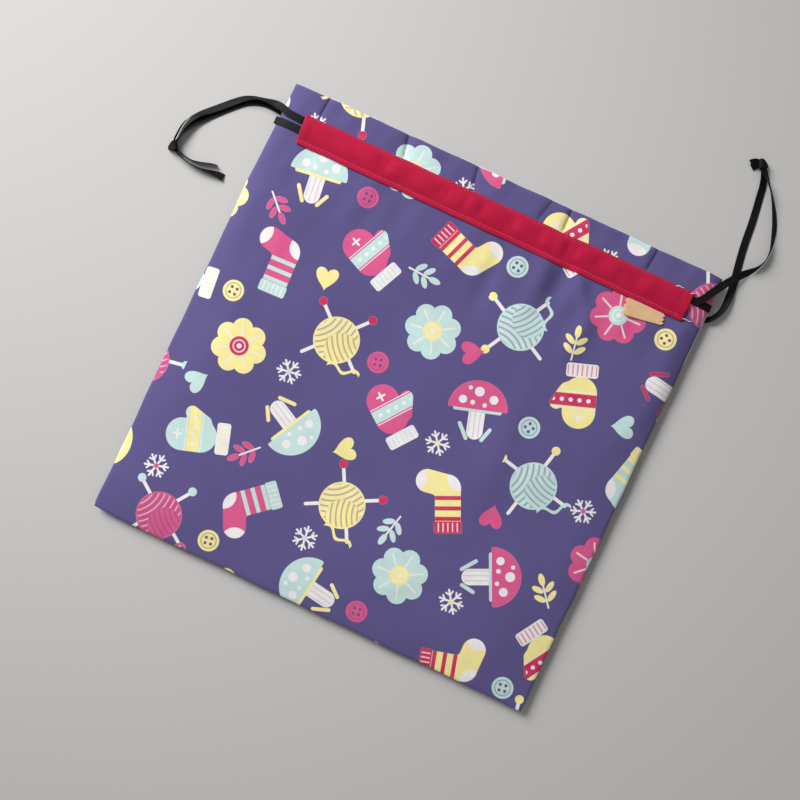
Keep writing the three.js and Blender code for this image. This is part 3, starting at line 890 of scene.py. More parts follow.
def node_group(name, inputs, outputs):
    """A new shader node group with named sockets, its input sockets by name and its output node."""
    tree = bpy.data.node_groups.new(name, "ShaderNodeTree")
    for direction, sockets in (("INPUT", inputs), ("OUTPUT", outputs)):
        for socket, kind in sockets.items():
            tree.interface.new_socket(name=socket, in_out=direction, socket_type=f"NodeSocket{kind}")
    return tree, tree.nodes.new("NodeGroupInput").outputs, tree.nodes.new("NodeGroupOutput").inputs


def use_group(tree, group, **inputs):
    """Place a node group in a tree with these inputs, and give its outputs."""
    node = tree.nodes.new("ShaderNodeGroup")
    node.node_tree = group
    for name, value in inputs.items():
        plug(tree, value, node.inputs[name])
    return node.outputs


# Distances to plain shapes on the cloth, in millimetres: below 0 inside.


def disc(p, centre, radius):
    """Distance to a round spot."""
    return (p - centre).size() - radius


def oval(p, centre, radii):
    """About the distance to an oval: that to a spot on the squeezed cloth, scaled by the short radius."""
    return ((p - centre) * (1 / radii[0], 1 / radii[1])).size() * min(radii) - min(radii)


def bar(p, start, end, radius):
    """Distance to a round-ended bar: to its nearest point on the line from start to end."""
    run = (end[0] - start[0], end[1] - start[1])
    from_start = p - start
    dot = Value(p.tree, from_start.vector("DOT_PRODUCT", (*run, 0)).outputs[1])
    share = dot.math("DIVIDE", run[0] ** 2 + run[1] ** 2, clamp=True)
    reach = spot(share * run[0], share * run[1])
    return (from_start - reach).size() - radius


def block(p, centre, half, corner):
    """Distance to a box with rounded corners."""
    folded = Place(p.tree, (p - centre).vector("ABSOLUTE").outputs[0]) - (half[0] - corner, half[1] - corner)
    return Place(p.tree, folded.vector("MAXIMUM", (0, 0, 0)).outputs[0]).size() - corner


def lines(value, pitch, half_width):
    """Distance to evenly spaced lines where value is a whole number of pitches."""
    return value.math("PINGPONG", pitch / 2) - half_width


# Printed motifs: each gives its layers from the bottom up, as the distance to a shape, its ink, and a share
# where the ink doesn't cover fully.


def yarn_ball(p, ink):
    """A ball of yarn with two needles through it and a curly end."""
    layers = []
    for side in (-1, 1):
        layers.append((bar(p, (-18 * side, -15), (15 * side, 18), 1.1), ink.white))
        layers.append((disc(p, (17 * side, 20.2), 2.8), ink.second))
    ball = disc(p, (0, 0), 15)
    over = disc(p, (5, -5), 11)
    rim = ball + 1.0
    wound = (p - (-23, 17)).size()
    first = lines(wound, 3.6, 0.55).both(rim).both(-over)
    second = lines((p - (25, 12)).size(), 3.4, 0.55).both(rim).both(over)
    glints = lines(wound + 1.8, 3.6, 0.3).both(rim).both(-over)
    curl = abs(p.y - (p.x * 0.42).math("SINE") * 2.0 + 16.2) * 0.8 - 0.85
    return layers + [
        (ball, ink.main),
        (first.either(second), ink.ground, 0.55),
        (glints, ink.white, 0.6),
        (curl.both(abs(p.x - 11) - 11), ink.main),
    ]


def mitten(p, ink):
    """A mitten with a dotted band and a ribbed cuff."""
    hand = bar(p, (0, -3), (0, 9), 10.5).math("SMOOTH_MIN", bar(p, (9, -5), (14.5, 4), 4.2), 3.0)
    cuff = block(p, (0, -17.5), (10.2, 4.4), 1.8)
    stripe = abs(p.y - 1.5)
    dots = spot(p.x.math("PINGPONG", 2.8), p.y - 1.5).size() - 1.35
    cross = bar(p, (-2.6, 12), (2.6, 12), 0.65).either(bar(p, (0, 9.4), (0, 14.6), 0.65))
    return [
        (hand, ink.main),
        ((stripe - 4.0).both(hand), ink.second),
        (dots.both(hand + 1.2), ink.white),
        ((stripe - 5.4).both(hand + 0.2).both(-(stripe - 4.8)), ink.white),
        (cross, ink.white),
        (cuff, ink.white),
        (lines(p.x, 3.0, 0.45).both(cuff + 0.9), ink.second, 0.7),
    ]


def sock(p, ink):
    """A striped sock with a plain heel and toe."""
    whole = bar(p, (-3, 15), (-3, -7), 8.2).math("SMOOTH_MIN", bar(p, (-3, -9), (10, -12.5), 7.4), 3.0)
    whole = whole.both(p.y - 14.5)
    cuff = block(p, (-3, 17), (9, 3.8), 1.5)
    leg = lines(p.y + 1.6, 6.6, 1.3).both(whole).both(-(p.y + 5))
    heel = disc(p, (-11, -14), 8.2).either(disc(p, (19, -15), 9)).both(whole)
    return [
        (whole, ink.main),
        (leg, ink.second),
        (heel, ink.white),
        (cuff, ink.second),
        (lines(p.x, 3.0, 0.45).both(cuff + 0.9), ink.white, 0.8),
    ]


def mushroom(p, ink):
    """A spotted mushroom with two blades of grass."""
    stem = bar(p, (0, -3), (0, -15), 5.2)
    cap = oval(p, (0, -1), (19, 18.5)).math("SMOOTH_MAX", -(p.y + 1), 2.0)
    frill = block(p, (0, -1.4), (15.5, 1.4), 1.2)
    spots = disc(p, (0, 10.5), 3.1)
    small_spots = (
        ((-10, 4.5), 2.6), ((9.6, 6.2), 2.8), ((-3.6, 3.2), 1.5), ((4.2, 2.2), 1.4), ((-6, 12.4), 1.3),
    )
    for centre, radius in small_spots:
        spots = spots.either(disc(p, centre, radius))
    grass = bar(p, (-5, -20), (-10, -11), 1.2).either(bar(p, (5, -20), (9.5, -13), 1.2))
    return [
        (stem, ink.white),
        (lines(p.x + 0.8, 3.2, 0.3).both(stem + 1.0), ink.ground, 0.35),
        (grass, ink.second),
        (frill, ink.second),
        (cap, ink.main),
        (spots, ink.white),
    ]


def blossom(p, ink):
    """A flower with seven round petals."""
    petal = p.fanned(7)
    core = p.size()
    return [
        (disc(petal, (11.5, 0), 6.6), ink.main),
        (bar(petal, (7, 0), (14.5, 0), 0.6), ink.white, 0.8),
        (core - 6.2, ink.second),
        (abs(core - 3.8) - 0.5, ink.white, 0.7),
        (core - 1.6, ink.white),
    ]


def heart(p, ink):
    """A heart: X squared plus the square of (1.25 Y + 0.2 minus the root of X) is below 1, 8 mm a unit."""
    across = abs(p.x) * 0.125
    lobe = p.y * 0.156 + 0.2 - across.math("SQRT")
    return [((across * across + lobe * lobe - 1) * 3.0, ink.main)]


def button(p, ink):
    """A round button with a rim and four holes."""
    radius = p.size()
    holes = disc(Place(p.tree, p.vector("ABSOLUTE").outputs[0]), (2.0, 2.0), 1.15)
    return [
        (radius - 7.6, ink.main),
        (abs(radius - 5.4) - 0.45, ink.ground, 0.55),
        (holes, ink.ground),
    ]


def sprig(p, ink):
    """A stem with two pairs of leaves and one at its tip."""
    half = p.folded()
    leaves = oval(p, (0, 9), (2.2, 4.4))
    for height in (-3.5, 3):
        leaves = leaves.either(oval((half - (4.2, height)).turned(-0.7), (0, 0), (4.4, 2.0)))
    return [
        (bar(p, (0, -11), (0, 8), 0.6), ink.white),
        (leaves, ink.main),
    ]


def snow_star(p, ink):
    """A six-armed star with a pair of barbs on each arm."""
    arm = p.fanned(6)
    barb = spot(arm.x, abs(arm.y))
    shape = bar(arm, (0, 0), (8.4, 0), 0.7).either(bar(barb, (4.4, 0), (6.8, 2.4), 0.6))
    return [(shape, ink.white), (disc(p, (0, 0), 1.7), ink.main)]


def motif_group(drawing):
    """A node group of one motif: place and inks in, its colour and its mask out."""
    inks = ("main", "second", "white", "ground")
    tree, given, out = node_group(
        drawing.__name__.replace("_", " ").capitalize(),
        {"Place": "Vector", **{key.capitalize(): "Color" for key in inks}},
        {"Color": "Color", "Mask": "Float"},
    )
    ink = SimpleNamespace(**{key: Value(tree, given[key.capitalize()]) for key in inks})
    shade, mask = None, None
    for distance, tint, *share in drawing(Place(tree, given["Place"]), ink):
        cover = distance.inside() * share[0] if share else distance.inside()
        shade = mixed(tree, cover, shade, tint) if shade else tint
        mask = mask.math("MAXIMUM", cover) if mask else cover
    plug(tree, shade, out["Color"])
    plug(tree, mask, out["Mask"])
    return tree


# The print's two lattices: their motifs, their drop in rows, their slide in columns and the motifs' scale.
# A motif wanders by up to half of WANDER millimetres from its place.
LATTICES = (
    ((yarn_ball, mitten, blossom, sock, mushroom), 0.0, 0.0, 1.26),
    ((heart, button, sprig, snow_star), 0.5, -0.33, 1.15),
)
WANDER = 8.0


def print_group():
    """The scattered print: big motifs on a half-drop lattice and small ones in its gaps, all turned.

    A place falls into the nearest lattice cell, every second column shifted by half a row. The cell's
    number gives its motif and its inks, and a random turn and shift that stay the same for that cell. A
    soft wash clouds the inks.
    """
    cloth = settings().cloth
    tree, given, out = node_group("Scattered print", {"Place": "Vector"}, {"Color": "Color"})
    p = Place(tree, given["Place"])
    wide, tall = cloth.column / MM, cloth.row / MM
    shade, ink_mask = tuple(cloth.ground), None
    for motifs, drop, slide, scale in LATTICES:
        column = ((p.x - slide * wide) * (1 / wide) + 0.5).math("FLOOR")
        shift = column.math("FLOORED_MODULO", 2.0) * (tall / 2) + drop * tall
        row = ((p.y - shift) * (1 / tall) + 0.5).math("FLOOR")
        random = tree.nodes.new("ShaderNodeTexWhiteNoise")
        random.noise_dimensions = "2D"
        plug(tree, spot(column, row + drop), random.inputs["Vector"])
        chance = Place(tree, random.outputs["Color"])
        local = p - spot(column * wide + slide * wide, row * tall + shift)
        local = local - spot((chance.x - 0.5) * WANDER, (chance.y - 0.5) * WANDER)
        local = local.turned(chance.part(2) * (2 * math.pi)) * (1 / scale, 1 / scale)
        pick = (column + row * 2).math("FLOORED_MODULO", 3.0)
        main = mixed(tree, pick.equals(1), tuple(cloth.yellow), tuple(cloth.aqua))
        main = mixed(tree, pick.equals(2), main, tuple(cloth.pink))
        second = mixed(tree, pick.equals(1), tuple(cloth.crimson), tuple(cloth.yellow))
        second = mixed(tree, pick.equals(2), second, tuple(cloth.aqua))
        kind = (column * 2 + row).math("FLOORED_MODULO", float(len(motifs)))
        for number, drawing in enumerate(motifs):
            outputs = use_group(
                tree, motif_group(drawing), Place=local, Main=main, Second=second,
                White=tuple(cloth.white), Ground=tuple(cloth.ground),
            )
            cover = Value(tree, outputs["Mask"]) * kind.equals(number)
            shade = mixed(tree, cover, shade, Value(tree, outputs["Color"]))
            ink_mask = ink_mask.math("MAXIMUM", cover) if ink_mask else cover
    wash = noise(p * (0.11, 0.11), 1.0, 3.0) * 0.5 + noise(p * (0.9, 0.9), 1.0) * 0.16 - 0.2
    shade = mixed(tree, ink_mask * wash.math("MULTIPLY", 0.8, clamp=True), shade, tuple(cloth.wash))
    plug(tree, shade, out["Color"])
    return tree


def weave_group():
    """A plain weave: threads over and under each other as a product of two sines, thick and thin by noise.

    Height goes from about 0 to 1. Shade is a little darker between the threads, which is painted shade,
    and varies softly over the cloth, which is the cloth's own tone.
    """
    tree, given, out = node_group(
        "Plain weave", {"Place": "Vector", "Pitch": "Float"}, {"Height": "Float", "Shade": "Float"}
    )
    p = Place(tree, given["Place"])
    pitch = Value(tree, given["Pitch"])
    across = (p.x.math("DIVIDE", pitch) * (2 * math.pi)).math("SINE")
    along = (p.y.math("DIVIDE", pitch) * (2 * math.pi)).math("SINE")
    slub = noise(p * (0.35, 2.2), 1.0) + noise(p * (2.2, 0.35), 1.0)
    height = across * along * 0.3 + 0.5 + (slub - 1) * 0.45
    cloud = noise(p * (0.02, 0.02), 1.0, 3.0)
    plug(tree, height, out["Height"])
    # Shade: painted shade between the threads, plus the cloth's own soft tone.
    plug(tree, height * 0.16 + 0.82 + cloud * 0.2, out["Shade"])
    return tree


class Finish:
    """A material being built: its tree, its Principled shader and the piece's cloth map in millimetres."""

    def __init__(self, name, **constants):
        self.material = bpy.data.materials.new(name)
        self.material.use_nodes = True
        self.tree = self.material.node_tree
        self.shader = self.tree.nodes["Principled BSDF"]
        for socket, value in constants.items():
            plug(self.tree, value, self.shader.inputs[socket.replace("_", " ")])
        source = self.tree.nodes.new("ShaderNodeUVMap")
        source.uv_map = CLOTH_MAP
        self.place = Place(self.tree, source.outputs[0]) * (1 / MM, 1 / MM)

    def set(self, socket, value):
        """Feed one of the shader's sockets."""
        plug(self.tree, value, self.shader.inputs[socket])

    def bump(self, height, distance):
        """Raise the surface's look by a height from 0 to 1 times a distance."""
        node = self.tree.nodes.new("ShaderNodeBump")
        node.inputs["Distance"].default_value = distance
        node.inputs["Strength"].default_value = 1
        plug(self.tree, height, node.inputs["Height"])
        self.tree.links.new(node.outputs[0], self.shader.inputs["Normal"])

    def shaded(self, tint, shade):
        """A colour times a shade."""
        grey = self.tree.nodes.new("ShaderNodeCombineColor")
        for socket in grey.inputs[:3]:
            plug(self.tree, shade, socket)
        node = self.tree.nodes.new("ShaderNodeMix")
        node.data_type = "RGBA"
        node.blend_type = "MULTIPLY"
        node.inputs[0].default_value = 1
        plug(self.tree, tint, node.inputs[6])
        self.tree.links.new(grey.outputs[0], node.inputs[7])
        return Value(self.tree, node.outputs[2])


def woven(name, pitch, relief, roughness, sheen, tint):
    """A woven cotton finish: the weave's shade and bump on a plain tint, or on the print if it has none."""
    finish = Finish(
        name, Roughness=roughness, Sheen_Weight=sheen, Sheen_Roughness=0.5, Specular_IOR_Level=0.2
    )
    weave = bpy.data.node_groups.get("Plain weave") or weave_group()
    threads = use_group(finish.tree, weave, Place=finish.place, Pitch=pitch)
    if tint is None:
        tint = Value(finish.tree, use_group(finish.tree, print_group(), Place=finish.place)["Color"])
    finish.set("Base Color", finish.shaded(tint, Value(finish.tree, threads["Shade"])))
    finish.bump(Value(finish.tree, threads["Height"]), relief)
    return finish.material


# The ribbon's weave in millimetres: from its middle to its selvedges, and from rib to rib.
SELVEDGE = 2.45
RIB_PITCH = 0.7


def ribbon_finish():
    """Black ribbon: fine ribs across it as a sine, a smooth selvedge along each edge and soft wear."""
    finish = Finish("Ribbon", Sheen_Weight=0.02, Sheen_Roughness=0.4, Specular_IOR_Level=0.14)
    p = finish.place
    selvedge = (-(abs(p.x) - SELVEDGE)).inside(0.3)
    ribs = (p.y * (2 * math.pi / RIB_PITCH)).math("SINE") * 0.5 + 0.5
    wear = noise(p * (0.5, 0.12), 1.0, 3.0)
    # The ribs make the colour darker in their troughs: painted shade.
    shade = ribs * 0.35 + selvedge * 0.25 + wear * 0.9 + 0.35
    finish.set("Base Color", finish.shaded(tuple(settings().ribbon.weave), shade))
    finish.set("Roughness", wear * 0.2 + 0.52)
    finish.bump(ribs * 0.4 + selvedge * 0.5, 0.06 * MM)
    return finish.material


def thread_finish(name, tint):
    """Sewing thread: a twist that runs slantwise round it, with painted shade in its grooves."""
    finish = Finish(name, Roughness=0.6, Sheen_Weight=0.2, Specular_IOR_Level=0.3)
    p = finish.place
    twist = (p.x * 5.0 + p.y * 9.0).math("SINE") * 0.5 + 0.5
    # The twist's grooves are darker: painted shade.
    finish.set("Base Color", finish.shaded(tint, twist * 0.3 + 0.8))
    finish.bump(twist, 0.05 * MM)
    return finish.material


def tab_finish():
    """Bare tan tab: cloudy tan with fine flecks and a fibrous grain."""
    finish = Finish("Tan tab", Specular_IOR_Level=0.25, Sheen_Weight=0.1)
    p = finish.place
    cloud = noise(p, 0.22, 4.0)
    fibre = noise(p * (1.0, 3.5), 1.6, 3.0)
    flecks = noise(p, 2.6, 2.0)
    shade = cloud * 0.3 + fibre * 0.24 + flecks * 0.2 + 0.63
    finish.set("Base Color", finish.shaded(tuple(settings().label.tan), shade))
    finish.set("Roughness", fibre * 0.2 + 0.6)
    finish.bump(fibre * 0.7 + flecks * 0.5, 0.08 * MM)
    return finish.material


# Woven finishes: name, thread pitch in millimetres, depth of the weave, roughness and sheen.
WEAVES = {
    "print": ("Printed cloth", 0.7, 0.05 * MM, 0.82, 0.12),
    "reverse": ("Cloth reverse", 0.7, 0.05 * MM, 0.85, 0.1),
    "lining": ("Lining", 0.5, 0.04 * MM, 0.85, 0.12),
    "casing": ("Red cotton", 0.45, 0.05 * MM, 0.8, 0.05),
}
FINISHES = {}


def new_finish(key):
    """One of the bag's finishes, newly made."""
    cloth, casing = settings().cloth, settings().casing
    tints = {"reverse": cloth.reverse, "lining": cloth.lining, "casing": casing.cloth}
    if key in WEAVES:
        return woven(*WEAVES[key], tuple(tints[key]) if key in tints else None)
    if key == "thread":
        return thread_finish("Topstitch thread", tuple(casing.thread))
    if key == "loose thread":
        return thread_finish("Loose thread", tuple(casing.loose))
    return {"ribbon": ribbon_finish, "tab": tab_finish}[key]()


def finish_for(key):
    """The bag's finishes, each made once."""
    if key not in FINISHES:
        FINISHES[key] = new_finish(key)
    return FINISHES[key]


# The casing's section: distance from its lower edge and height above the wall of the cloth's middle, in
# millimetres.
CASING_SECTION = (
    (5.2, 0.45), (4.4, 0.42), (3.2, 0.40), (1.8, 0.41), (0.9, 0.42), (0.55, 0.48), (0.36, 0.62),
    (0.30, 0.78), (0.36, 0.94), (0.55, 1.08), (0.9, 1.14), (1.7, 1.17), (2.6, 1.12), (3.2, 1.02),
    (3.6, 0.97), (4.0, 1.03), (4.8, 1.2), (6.0, 1.48), (7.6, 1.74), (9.6, 1.92), (11.6, 2.0), (13.6, 2.0),
    (15.6, 2.0), (17.6, 1.99), (19.4, 1.96), (20.8, 1.88), (21.8, 1.66), (22.6, 1.3), (23.2, 1.03),
    (23.6, 0.97), (24.0, 1.05), (24.3, 1.12), (24.55, 1.06), (24.68, 0.93), (24.7, 0.78), (24.64, 0.6),
    (24.45, 0.47), (24.1, 0.42), (23.6, 0.42),
)

# The stitch rows' distances from the casing's lower edge, in millimetres.
STITCH_ROWS = (3.6, 23.6)

# The step of the casing's grid along it, how far its left end slants in at the lower corner and over what
# length, and how far its edges sway.
CASING_STEP = 1.3 * MM
END_SLANT = 2.2 * MM
SLANT_REACH = 30 * MM
CASING_SWAY = 0.36 * MM

# The hems at the front casing's ends: their height, where they fade out inside the ends, and the heights
# above the wall between which the lower layer passes into the upper one, which alone is raised.
HEM = 0.28 * MM
HEM_FADE = (-7 * MM, -6.2 * MM)
UPPER_LAYER = (0.7 * MM, 0.9 * MM)

# The front casing's puckers: where they rise and fall away above its lower edge, and their mean and swing
# as shares of their full height.
CHANNEL_START = (3.8 * MM, 13 * MM)
CHANNEL_END = (17 * MM, 23.4 * MM)
PUCKER_MEAN = 0.6
PUCKER_SWING = 0.5

# Valleys between the puckers: place across the bag and half width in millimetres, and depth as a share of
# the puckers' full height. A negative depth is a ridge.
CASING_VALLEYS = (
    (-94, 5, 0.5), (-41, 5, 0.6), (-22, 4, 0.5), (-8, 4, 0.4), (19, 5, 0.6), (44, 5, 0.7),
    (61, 5, -0.8), (72, 5, 1.2), (95, 6, 0.6), (115, 5, 0.5), (130, 7, 0.5),
)

# The topstitches: rings and sides of one, its half length as a share of the stitch distance, how much
# thinner its ends are, and how far its middle stands out and its ends dip from there, as shares of the
# thread's width. Then how far the rows stop short of the casing's ends, the cloth's level there above the
# wall, and the spread of seeded slants, shifts and lifts.
STITCH_RINGS = 5
STITCH_SIDES = 6
STITCH_REACH = 0.44
STITCH_TAPER = 0.6
STITCH_RISE = 0.36
STITCH_DIP = 0.6
STITCH_STOP = 1.5 * MM
STITCH_LEVEL = 0.97 * MM
STITCH_SLANT = 0.07 * MM
STITCH_SHIFT = 0.05 * MM
STITCH_LIFT = 0.03 * MM
STITCH_SEED = 43


def casing_pucker(x, up):
    """Outward height of the front casing's puckers, none at the stitch rows and most between them.

    Waves about a mean, less the valleys and never below 0.
    """
    channel = smoothstep(up, *CHANNEL_START) * (1 - smoothstep(up, *CHANNEL_END))
    ripple = PUCKER_MEAN + PUCKER_SWING * waves(x, up, *PUCKER_WAVES)
    valleys = sum(depth * hump(x, middle_x * MM, width * MM) for middle_x, width, depth in CASING_VALLEYS)
    return settings().casing.pucker * channel * np.clip(ripple - valleys, 0, None)


def casing_surface(x, up, height, front):
    """Points of a casing at a distance up from its lower edge and a height above its wall.

    Its edges sway a little, and its left end slants in by END_SLANT at the lower corner.
    """
    y = CASING_BOTTOM + up
    end = np.where(x < 0, CASING_ENDS["left"], CASING_ENDS["right"])
    if front:
        hem = HEM * smoothstep(np.abs(x) - end, *HEM_FADE) * smoothstep(height, *UPPER_LAYER)
        z = front_height(x, y) + height + casing_pucker(x, up) + hem
    else:
        z = back_height(x, y) - height
    sway = CASING_SWAY * waves(x, up, *(FRONT_SWAY_WAVES if front else BACK_SWAY_WAVES))
    near_end = smoothstep(-x - CASING_ENDS["left"], -SLANT_REACH, 0)
    slant = END_SLANT * (1 - up / (CASING_TOP - CASING_BOTTOM)) * near_end
    return np.stack([x + slant, y + sway, z], -1)


def half_casing(side, front):
    """Half a casing: its folded section carried along X, as a closed sheet with its right side outward."""
    sign = SIDE_SIGN[side]
    section = smooth_path(np.pad(np.array(CASING_SECTION) * MM, ((0, 0), (0, 1))), steps=2)[:, :2]
    heading = unit(np.gradient(section, axis=0))
    normal = np.stack([-heading[:, 1], heading[:, 0]], -1)
    end = CASING_ENDS[side]
    columns = round(end / CASING_STEP) + 1
    across = np.sort(sign * np.linspace(0, end - CLOTH / 2, columns))[:: 1 if front else -1]
    x = np.broadcast_to(across, (len(section), columns))
    layers = []
    for half in (CLOTH / 2, -CLOTH / 2):
        up, height = np.broadcast_to((section + normal * half).T[:, :, None], (2, *x.shape))
        layers.append(casing_surface(x, up, height, front))
    unrolled = path_length(np.pad(section, ((0, 0), (0, 1))))[:, None]
    cloth_map = np.stack(np.broadcast_arrays(x, unrolled), -1)
    middle_last = (sign > 0) != front
    return closed_sheet(*layers, cloth_map, (True, not middle_last, True, middle_last))


def stitch_row(side, up, front):
    """A row of topstitches on half a casing: each a short thread that arches out of the cloth.

    A stitch is a tube of a few rings along X. It dips into the cloth at its ends by a parabola, and its
    radius falls there as a fourth power. It has a little seeded slant, shift and lift of its own.
    """
    casing = settings().casing
    sign = SIDE_SIGN[side]
    count = int((CASING_ENDS[side] - STITCH_STOP) / casing.stitch)
    rng = np.random.default_rng(STITCH_SEED + sign + round(up / MM))
    middles = sign * (np.arange(count) + 0.5) * casing.stitch
    reach = np.linspace(-1, 1, STITCH_RINGS)
    slant = rng.normal(0, STITCH_SLANT, (count, 1))
    x = middles[:, None] + reach * casing.stitch * STITCH_REACH
    distance = up + slant * reach + rng.normal(0, STITCH_SHIFT, (count, 1))
    centre = casing_surface(x, distance, np.full_like(x, STITCH_LEVEL + CLOTH / 2), front)
    radius = casing.thread_width / 2 * (1 - STITCH_TAPER * reach**4)
    arch = STITCH_RISE - STITCH_DIP * reach**2
    lift = casing.thread_width * arch + rng.normal(0, STITCH_LIFT, (count, 1))
    centre[..., 2] += lift if front else -lift
    turn = np.linspace(0, 2 * np.pi, STITCH_SIDES, endpoint=False)
    ring = np.stack([np.zeros(STITCH_SIDES), np.cos(turn), np.sin(turn)], -1)
    points = centre[:, :, None] + ring * radius[:, None, None]
    starts = STITCH_RINGS * STITCH_SIDES * np.arange(count)
    faces = (tube_faces(STITCH_RINGS, STITCH_SIDES) + starts[:, None, None]).reshape(-1, 4)
    cloth_map = np.stack(np.broadcast_arrays(points[..., 0], turn * radius[:, None]), -1)
    return plain_surface(points, faces, cloth_map)


def woven_band(node, surface):
    """Put a piece of ribbon into the scene in place of its node."""
    piece = add_piece(f"{node}_band", surface, "ribbon", finish_for("ribbon"))
    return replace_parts(piece, node)


class BAG_OT_stage(bpy.types.Operator):
    """Make the pale floor, the soft light and the camera"""

    bl_idname = "bag.stage"
    bl_label = "Stage"

    def execute(self, context):
        scene, stage = context.scene, settings().stage
        scene.view_settings.view_transform = "Standard"
        self.camera(scene, stage)
        self.floor(scene, stage)
        self.light(scene, stage)
        return {"FINISHED"}

    def camera(self, scene, stage):
        """A camera at its distance from the aim, a little off straight above and turned on its axis."""
        back = Vector((*stage.tilt, 1)).normalized()
        side = Vector((math.cos(stage.turn), math.sin(stage.turn), 0))
        side = (side - side.dot(back) * back).normalized()
        turn = Matrix((side, back.cross(side), back)).transposed().to_4x4()
        camera = bpy.data.objects.new("Camera", bpy.data.cameras.new("Camera"))
        camera.data.lens = stage.lens
        camera.data.sensor_width = FRAME_WIDTH
        camera.data.clip_start = NEAREST_VIEW
        camera.matrix_world = Matrix.Translation(Vector(stage.aim) + back * stage.distance) @ turn
        scene.collection.objects.link(camera)
        scene.camera = camera

    def floor(self, scene, stage):
        """A wide flat floor at the bag's underside."""
        span = np.linspace(-FLOOR_REACH, FLOOR_REACH, FLOOR_POINTS)
        x, y = np.meshgrid(span, span)
        points = np.stack([x, y, 0 * x], -1).reshape(-1, 3)
        mesh = bpy.data.meshes.new("floor")
        mesh.from_pydata(points.tolist(), [], grid_faces(FLOOR_POINTS, FLOOR_POINTS).tolist())
        material = bpy.data.materials.new("Pale floor")
        material.use_nodes = True
        shader = material.node_tree.nodes["Principled BSDF"]
        shader.inputs["Base Color"].default_value = (*stage.floor, 1)
        shader.inputs["Roughness"].default_value = 0.9
        shader.inputs["Specular IOR Level"].default_value = 0.1
        mesh.materials.append(material)
        floor = bpy.data.objects.new("floor", mesh)
        scene.collection.objects.link(floor)

    def light(self, scene, stage):
        """Even light from all round, and one large soft lamp from the upper left of the picture."""
        world = bpy.data.worlds.new("Even light")
        world.use_nodes = True
        background = world.node_tree.nodes["Background"]
        background.inputs["Color"].default_value = (1, 1, 1, 1)
        background.inputs["Strength"].default_value = stage.sky
        scene.world = world
        lamp = bpy.data.lights.new("Soft lamp", "AREA")
        lamp.shape = "DISK"
        lamp.size = LAMP_SIZE
        lamp.spread = LAMP_SPREAD
        lamp.energy = stage.lamp
        holder = bpy.data.objects.new("Soft lamp", lamp)
        facing = (LAMP_PLACE - LAMP_AIM).to_track_quat("Z", "Y").to_matrix().to_4x4()
        holder.matrix_world = Matrix.Translation(Vector(stage.aim) + LAMP_PLACE) @ facing
        scene.collection.objects.link(holder)


